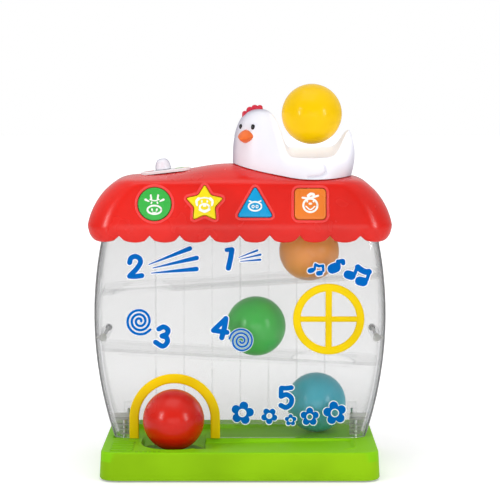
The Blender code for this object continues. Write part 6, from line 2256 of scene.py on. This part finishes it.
@dataclass
class BatteryDoor:
    """Door in the back of the roof, with ribs to grip and a screw."""

    half_width: float = 33 * MM
    half_height: float = 13 * MM
    thickness: float = 1.8 * MM
    ribs: int = 5

    def build(self, roof: Roof) -> None:
        """Make the door's plate with rounded edges, and its grip ribs.

        Args:
            roof: the roof that it closes.
        """
        place = roof.lean_frame(BATTERY_X, BATTERY_Z, 1)
        made = Surface()
        outline = rounded_box(self.half_width, self.half_height, 2 * MM)
        plate(made, outline, [(0.0, -self.thickness), *rounded_edge(0.6 * MM, 0.0, 5)], place)
        rib = bead(0.6 * MM, 0.7 * MM, 0.4 * MM, 3)
        for height in (-7 + 3.2 * np.arange(self.ribs)) * MM:
            path = place.at(mm(-12, 12), height, -0.1 * MM)
            swept(made, path, np.tile(place.up, (2, 1)), place.out, rib, False)
        made.piece("battery_door_skin", Finishes.RED, ("battery_door",), "red_plastic", body="door")


@dataclass
class Chute:
    """White tube from the hen's back down to the upper trough, with a slot and ears for the lever."""

    radius: float = 27 * MM
    wall: float = 1.8 * MM
    span: tuple[float, float] = (205.6 * MM, 246 * MM)
    bevel: float = 0.5 * MM
    slot_z: float = 217.5 * MM
    ear: tuple[float, float, float] = (2.8 * MM, 49.2 * MM, 232 * MM)

    def build(self) -> None:
        """Turn the tube's closed section, cut the slot and stand the ears beside it."""
        low, high = self.span
        inner, outer = self.radius, self.radius + self.wall
        rim = ((outer, high - self.bevel), (outer - self.bevel, high))
        section = np.array(((inner, low), (outer, low), *rim, (inner, high)))
        rows = lathed(section, 96, level_frame(CHUTE_X, HOUSING_Y, 0.0))
        tube = Surface().grid(rows, round_rows=True, round_columns=True)
        piece = tube.piece("chute_tube", Finishes.PLATE_WHITE, ("ball_chute",), "white_plastic")
        cuts = Surface()
        place = wall_frame(CHUTE_X, HOUSING_Y + self.radius, self.slot_z, 1)
        plate(cuts, rounded_box(3.1 * MM, 3.9 * MM, 0.5 * MM, 3), [(0.0, -6 * MM), (0.0, 2.5 * MM)], place)
        carve(piece, cuts)
        ears = Surface()
        beside, y, z = self.ear
        for side in (-1, 1):
            place = Frame(np.array((CHUTE_X + side * beside, y, z)), DEEP, UP, side * ALONG)
            outline = rounded_box(3.9 * MM, 2.6 * MM, 1.2 * MM, 5)[::side]
            plate(ears, outline, [(0.0, 0.0), (0.0, 1.8 * MM)], place)
        ears.piece("chute_ears", Finishes.PLATE_WHITE, slot="white_plastic")


@dataclass
class WallPrint:
    """Numbers, swirls, notes and flowers on the front wall, laid out in the view's units, 500 wide."""

    border: float = 0.95
    swirl_border: float = 0.45
    layer: float = 0.0008 * MM
    petal_away: float = 0.625
    petal: float = 0.385
    open_centre: float = 0.36
    flowers: tuple[tuple[Point, float, float], ...] = (
        ((242.3, 413.0), 11.5, -78.0),
        ((269.3, 415.9), 8.2, -52.0),
        ((290.6, 420.1), 5.9, -90.0),
        ((309.7, 416.8), 9.2, -90.0),
        ((334.9, 413.0), 11.6, -100.0),
    )

    def on_wall(self, points: Array, lift: float) -> Array:
        """Carry points of the view along their sight lines onto the wall's plane.

        Args:
            points: places in the view, from its top left corner.
            lift: distance before the wall, in metres.

        Returns:
            Points in metres.
        """
        focal = LENS / SENSOR * VIEW
        y = WALL_FRONT - lift
        angle = PITCH + np.arctan((points[:, 1] - VIEW / 2) / focal)
        ahead = y - EYE[1]
        z = EYE[2] - ahead * np.tan(angle)
        depth = ahead * math.cos(PITCH) + (EYE[2] - z) * math.sin(PITCH)
        x = EYE[0] + (points[:, 0] - VIEW / 2) * depth / focal
        return np.stack((x, np.full(len(points), y), z), -1)

    def numbers(self) -> list[Stroke]:
        """The numbers 1 to 5.

        Returns:
            Thick strokes with round ends.
        """
        wide, leg, thin = 5.1, 5.4, 4.8
        two = ((129.6, 262.6), (131.0, 258.2), (135.2, 256.4), (139.6, 258.6), (140.2, 263.0), (136.4, 269.0))
        five = ((281.0, 396.4), (286.6, 394.6), (291.4, 398.2), (290.8, 404.0), (286.0, 407.4), (280.8, 405.4))
        return [
            Stroke((*two, (130.2, 275.4)), wide),
            Stroke(((129.6, 276.2), (135.5, 276.4), (141.8, 275.6)), wide),
            Stroke(((226.8, 250.0), (231.4, 249.2)), 4.4),
            Stroke(((231.9, 249.8), (230.6, 258.0), (228.4, 268.0)), leg),
            Stroke(((158.8, 329.0), (163.6, 326.9), (168.0, 329.8), (166.6, 334.0), (162.0, 336.0)), wide),
            Stroke(((162.0, 336.0), (166.6, 337.6), (167.2, 342.4), (162.6, 346.2), (155.6, 342.2)), wide),
            Stroke(((225.8, 318.6), (213.4, 330.4)), wide),
            Stroke(((213.4, 330.4), (227.0, 332.4)), wide),
            *jointed(((225.8, 318.6), (224.4, 328.0), (221.8, 337.6)), leg),
            Stroke(((281.4, 388.0), (286.6, 388.2), (291.4, 387.6)), thin),
            Stroke(((281.2, 388.2), (281.0, 395.8)), thin),
            Stroke(five, 5.0),
        ]

    def dashes(self) -> list[Stroke]:
        """The tapered dashes beside the 2 and the 1.

        Returns:
            Three large ones and three small ones.
        """
        large = (
            ((148.9, 264.5), (189.8, 248.5)),
            ((152.9, 268.0), (196.6, 257.9)),
            ((151.4, 273.1), (196.4, 269.0)),
        )
        small = (
            ((238.9, 257.5), (257.2, 250.4)),
            ((240.4, 259.2), (260.4, 254.6)),
            ((240.4, 261.4), (260.2, 259.7)),
        )
        return [Stroke(line, 1.0, 4.7) for line in large] + [Stroke(line, 0.7, 2.2) for line in small]

    def swirl(self, centre: Point, radius: float, start: float, turns: float, width: float) -> Stroke:
        """A spiral that runs inwards clockwise: its radius falls evenly with the angle.

        Args:
            centre: its middle in the view.
            radius: its outer radius.
            start: angle of its outer end, in degrees.
            turns: how often it goes round.
            width: the line's width.

        Returns:
            The line.
        """
        share = np.linspace(0, 1, int(16 * turns))
        angle = math.radians(start) + 2 * math.pi * turns * share
        away = radius * (1 - share) + 1.6 * share
        points = np.stack((centre[0] + away * np.cos(angle), centre[1] + away * np.sin(angle)), -1)
        return Stroke(tuple(map(tuple, points.tolist())), width)

    def notes(self) -> list[Stroke]:
        """A small beamed pair, a single note and a large beamed pair.

        Returns:
            Heads as short thick strokes, stems and beams as thinner ones.
        """
        small, single, large = 2.8, 4.4, 3.6
        return [
            Stroke(((310.0, 270.8), (312.2, 270.2)), 5.0),
            *jointed(((314.4, 269.6), (315.4, 264.4), (318.6, 266.2), (323.0, 265.7), (323.2, 270.8)), small),
            Stroke(((318.4, 273.4), (320.6, 273.0)), 5.0),
            Stroke(((332.4, 268.8), (335.8, 267.4)), 10.0),
            *jointed(((338.6, 266.2), (338.0, 261.6), (343.0, 261.0), (343.2, 263.2)), single),
            Stroke(((347.9, 274.6), (351.4, 275.6)), 8.8),
            Stroke(((354.8, 273.8), (357.3, 266.6)), large),
            Stroke(((357.8, 267.2), (361.4, 270.0), (365.4, 271.8), (369.0, 271.8)), 6.0),
            Stroke(((369.4, 272.0), (366.8, 280.0)), large),
            Stroke(((359.6, 281.0), (363.2, 281.8)), 9.2),
        ]

    def flower(self, centre: Point, radius: float, tilt: float, grow: float) -> Patch:
        """A ring from an open centre to five petals, r = d·cos a + √(p² - d²·sin² a) about each petal's axis.

        Args:
            centre: its middle in the view.
            radius: its reach.
            tilt: angle of one petal, in degrees.
            grow: how far the border stands out.

        Returns:
            Its points and faces.
        """
        turn = around(120)
        away = (turn - math.radians(tilt) + math.pi / 5) % (2 * math.pi / 5) - math.pi / 5
        d, p = radius * self.petal_away, radius * self.petal
        outer = d * np.cos(away) + np.sqrt(np.clip(p**2 - (d * np.sin(away)) ** 2, 0, None)) + grow
        inner = np.full(len(turn), max(radius * self.open_centre - grow, 0.5))
        circle = np.stack((np.cos(turn), np.sin(turn)), -1)
        rows = [np.array(centre) + reach[:, None] * circle for reach in (inner, outer)]
        return np.concatenate(rows), quads(2, len(turn), False, True)

    def lay(self, name: str, grow: float, lift: float, finish: Finishes) -> None:
        """Lay all figures in one ink, each stroke a hair above the one before.

        Args:
            name: the layer's name.
            grow: how far it stands out round each figure.
            lift: its distance before the wall.
            finish: its ink.
        """
        swirls = [
            self.swirl((139.6, 321.2), 13.6, 38, 2.9, 2.6),
            self.swirl((241.5, 340.8), 12.2, 190, 2.9, 2.1),
        ]
        strokes = self.numbers() + self.dashes() + self.notes() + swirls
        made = Surface()
        for index, stroke in enumerate(strokes):
            points, faces = stroke.ribbon(grow * (self.swirl_border if stroke in swirls else 1.0))
            made.add(self.on_wall(points, lift + index * self.layer), faces)
        for centre, radius, tilt in self.flowers:
            points, faces = self.flower(centre, radius, tilt, grow)
            made.add(self.on_wall(points, lift), faces)
        made.piece(f"wall_print_{name}", finish, slot="clear_plastic", crease=180)

    def build(self) -> None:
        """Lay a white border under the blue figures."""
        self.lay("border", self.border, 0.03 * MM, Finishes.INK_WHITE)
        self.lay("figures", 0.0, 0.09 * MM, Finishes.INK_BLUE)


def oval(centre: Point, half_u: float, half_v: float, width: float) -> Stroke:
    """A closed oval line.

    Args:
        centre: its middle.
        half_u: half its width.
        half_v: half its height.
        width: the line's width.

    Returns:
        The line.
    """
    turn = np.linspace(0, 2 * math.pi, 20)
    points = np.stack((centre[0] + half_u * np.cos(turn), centre[1] + half_v * np.sin(turn)), -1)
    return Stroke(tuple(map(tuple, points.tolist())), width)


def pair(points: tuple[Point, ...], width: float, end_width: float | None = None) -> list[Stroke]:
    """A line left of the middle and its mirror image."""
    mirrored = tuple((-u, v) for u, v in points)
    return [Stroke(points, width, end_width), Stroke(mirrored, width, end_width)]


class Faces:
    """Plain animal faces in white line, in millimetres about each button's middle."""

    COW = (
        *pair(((-2.6, 4.2), (-3.0, 7.0)), 1.5),
        *pair(((-7.2, 3.4), (-4.6, 2.2)), 1.9, 1.2),
        Stroke(((-3.6, 3.6), (0.0, 2.6), (3.6, 3.6)), 1.0),
        *pair(((-2.6, 0.4), (-2.2, 1.4)), 1.2),
        oval((0.0, -4.8), 5.6, 3.4, 1.5),
        *pair(((-2.0, -4.4), (-1.8, -5.0)), 1.5),
        Stroke(((-1.6, -6.6), (0.0, -7.0), (1.6, -6.6)), 0.7),
    )
    DOG = (
        *pair(((-4.6, 4.2), (-6.4, 2.2), (-6.0, -1.0)), 2.4, 1.6),
        Stroke(((-3.0, 4.6), (0.0, 5.0), (3.0, 4.6)), 1.2),
        *pair(((-2.2, 1.6), (-2.2, 2.4)), 1.3),
        oval((0.0, -2.8), 3.9, 2.7, 1.5),
        Stroke(((-0.5, -1.6), (0.5, -1.6)), 1.6),
        Stroke(((-4.2, -4.8), (0.0, -6.6), (4.2, -4.8)), 1.2),
    )
    PIG = (
        oval((0.0, -2.0), 5.2, 3.6, 1.3),
        *pair(((-4.6, 2.4), (-2.8, 1.8)), 1.2, 0.7),
        oval((-1.6, -2.2), 0.9, 1.0, 0.7),
        oval((1.6, -2.2), 0.9, 1.0, 0.7),
    )
    BEAR = (
        oval((0.0, -1.2), 5.7, 5.4, 1.6),
        Stroke(((-6.2, 5.0), (-2.0, 4.6), (2.0, 5.4), (6.2, 6.6)), 1.7),
        Stroke(((-1.6, 6.6), (0.4, 8.0), (2.6, 7.6)), 2.4),
        Stroke(((-3.6, -2.0), (0.0, -4.6), (3.6, -2.0)), 1.0),
        Stroke(((-0.6, 0.2), (0.6, 0.2)), 1.7),
        *pair(((-2.6, 1.8), (-2.4, 2.2)), 1.2),
    )


@dataclass
class Lamp:
    """A soft lamp that faces the toy's middle: its place and size in metres, its power in watts."""

    name: str
    place: tuple[float, float, float]
    size: tuple[float, float]
    power: float

    def build(self) -> None:
        """Add the lamp, turned from its own -Z towards the toy."""
        data = bpy.data.lights.new(self.name, "AREA")
        data.shape = "RECTANGLE"
        data.size, data.size_y = self.size
        data.energy = self.power
        aim = np.array((0, 0, 0.15)) - np.array(self.place)
        tilt = math.atan2(aim[2], math.hypot(aim[0], aim[1]))
        made = stand(self.name, data)
        made.location = self.place
        made.rotation_euler = (math.pi / 2 + tilt, 0, math.atan2(-aim[0], aim[1]))


@dataclass
class Studio:
    """Camera at the picture's angle, a pale floor and soft lamps."""

    floor_half: float = 9.0
    floor_glow: float = 0.28
    sky: tuple[float, float, float] = (0.0, 0.35, 0.94)
    ambient: tuple[float, float] = (0.3, 0.8)
    lamps: tuple[Lamp, ...] = (
        Lamp("key", (-0.95, -0.85, 0.5), (0.12, 0.5), 4.4),
        Lamp("fill", (0.98, -0.85, 0.45), (0.12, 0.5), 4.1),
        Lamp("top", (-0.1, -0.25, 1.4), (1.0, 1.0), 3.2),
        Lamp("front", (0.05, -1.8, 0.3), (1.6, 0.5), 3.8),
    )

    def camera(self) -> None:
        """Set the camera."""
        data = bpy.data.cameras.new("camera")
        data.lens = LENS
        data.sensor_width = SENSOR
        data.clip_start = 0.05
        made = stand("camera", data)
        made.location = EYE
        made.rotation_euler = (math.pi / 2 - PITCH, 0, 0)
        bpy.context.scene.camera = made

    def floor(self) -> None:
        """A pale floor that keeps the toy's shadow and runs out to white."""
        recipe = Recipe("floor_white")
        sight = recipe.node("ShaderNodeLightPath", {}, {}, "Is Camera Ray")
        across, deep, _up = recipe.axes()
        level = (distance(across, deep).step(0.16, 0.5) * 0.3 + self.floor_glow) * sight
        paper = {
            "Base Color": recipe.mix(recipe.noise(3.0), (0.88, 0.88, 0.89), (0.9, 0.9, 0.905)),
            "Roughness": 0.9,
            "Emission Color": recipe.mix(level.clipped(), (0.0, 0.0, 0.0), (1.0, 1.0, 1.0)),
            "Emission Strength": 1.0,
        }
        recipe.show(recipe.principled(paper))
        mesh = bpy.data.meshes.new("floor")
        corners = self.floor_half * np.array(((-1, -1, 0), (1, -1, 0), (1, 1, 0), (-1, 1, 0)))
        mesh.from_pydata(corners.tolist(), [], [(0, 1, 2, 3)])
        mesh.materials.append(recipe.owner)
        stand("floor", mesh)

    def world(self) -> None:
        """White where it is seen; as a light, bright above and behind and dim in front."""
        recipe = Recipe("studio", "World")
        bpy.context.scene.world = recipe.owner
        sight = recipe.node("ShaderNodeLightPath", {}, {}, "Is Camera Ray")
        through = recipe.node("ShaderNodeLightPath", {}, {}, "Is Transmission Ray")
        ray = recipe.node("ShaderNodeTexCoord", {}, {}, "Generated")
        inputs = {0: ray, 1: self.sky}
        aim = recipe.node("ShaderNodeVectorMath", {"operation": "DOT_PRODUCT"}, inputs, "Value")
        level = aim.step(0.1, 0.7, *self.ambient)
        power = recipe.node("ShaderNodeMix", {}, {0: sight.apply("MAXIMUM", through), 2: level, 3: 1.0})
        recipe.show(recipe.node("ShaderNodeBackground", {}, {"Color": (1, 1, 1, 1), "Strength": power}))

    def build(self) -> None:
        """Set up everything round the toy."""
        bpy.context.scene.view_settings.view_transform = "Standard"
        bpy.context.scene.cycles.transparent_max_bounces = 32
        self.camera()
        self.world()
        self.floor()
        for lamp in self.lamps:
            lamp.build()
        LOG.info("studio set")


SLOT_FINISH = {
    "green_plastic": Finishes.GREEN,
    "grey_plastic": Finishes.GREY,
    "grey_rubber": Finishes.RUBBER,
    "screw_steel": Finishes.STEEL,
    "clear_plastic": Finishes.TROUGH_CLEAR,
    "yellow_plastic": Finishes.YELLOW,
    "red_plastic": Finishes.RED,
    "white_plastic": Finishes.PLATE_WHITE,
    "crimson_plastic": Finishes.COMB,
    "orange_plastic": Finishes.BEAK,
    "black_plastic": Finishes.BLACK,
    "leaf_green_plastic": Finishes.BUTTON_GREEN,
    "blue_plastic": Finishes.BUTTON_BLUE,
    "board_green": Finishes.BOARD,
}


def dress_solids() -> None:
    """Give every solid that still shows the finish of its slot."""
    slots = {part["node"]: part["material_slot"] for part in frame["record"]["subparts"]}
    for node, made in frame["nodes"].items():
        material = PALETTE.get(SLOT_FINISH[slots[node]])
        if not made.material_slots:
            made.data.materials.append(material)
        for slot in made.material_slots:
            slot.material = material


def screws(roof: Roof) -> list[ScrewHead]:
    """The screws that show at the back of the housing and of the roof.

    Args:
        roof: the roof that they stand in.

    Returns:
        Two in the side bosses, two in the roof and one in the battery door.
    """
    found = []
    seat = HOUSING_Y + float(roof.depth_at(ROOF_SCREW_Z)) - 5.7 * MM
    for name, side in (("left", -1), ("right", 1)):
        place = wall_frame(side * SIDE_SCREW_X, HOUSING_Y + 30.3 * MM, SIDE_SCREW_Z, 1)
        found.append(ScrewHead("side_screw_" + name, place, 50 * MM))
        place = wall_frame(side * ROOF_SCREW_X, seat, ROOF_SCREW_Z, 1)
        found.append(ScrewHead("roof_screw_" + name, place, 51.1 * MM))
    place = roof.lean_frame(BATTERY_X, BATTERY_Z, 1).moved(28.75 * MM, 0.0, 0.3 * MM)
    found.append(ScrewHead("battery_door_screw", place, 6.8 * MM, "door"))
    return found


def main() -> None:
    """Build every sub-assembly and dress the rest."""
    logging.basicConfig(level=logging.INFO, format="%(name)s: %(message)s")
    Studio().build()
    roof = Roof()
    buttons = [
        Button(Shape.CIRCLE, -68.8 * MM, Finishes.BUTTON_GREEN, Faces.COW),
        Button(Shape.STAR, -28.4 * MM, Finishes.BUTTON_YELLOW, Faces.DOG),
        Button(Shape.TRIANGLE, 12.4 * MM, Finishes.BUTTON_BLUE, Faces.PIG),
        Button(Shape.SQUARE, 57.0 * MM, Finishes.BUTTON_ORANGE, Faces.BEAR),
    ]
    roof.build(buttons)
    for button in buttons:
        button.build(roof)
    Hen(roof).build()
    Chute().build()
    housing = Housing()
    troughs = [Trough("upper", 57.8, 157.9, -3.5, 6.0, -80.0), Trough("middle", 13.3, 91.3, 3.07, 3.0, 70.0)]
    housing.build(troughs)
    for trough in troughs:
        trough.build(housing)
    Doorway().build()
    Window().build()
    Base().build()
    SlideSwitch().build(roof)
    BatteryDoor().build(roof)
    for screw in screws(roof):
        screw.build()
    for ball in (
        Ball("yellow", (59.6, 18.5, 291.3), Finishes.BALL_YELLOW),
        Ball("orange", (57.8, 18.5, 177.2), Finishes.BALL_ORANGE, 1.1),
        Ball("green", (13.3, 18.5, 113.6), Finishes.BALL_GREEN, -0.7),
        Ball("blue", (64.1, 18.5, 48.737), Finishes.BALL_BLUE, 0.9),
        Ball("red", (-54.0, -31.5, 43.5), Finishes.BALL_RED, 0.2),
    ):
        ball.build()
    WallPrint().build()
    dress_solids()


if __name__ == "__main__":
    main()
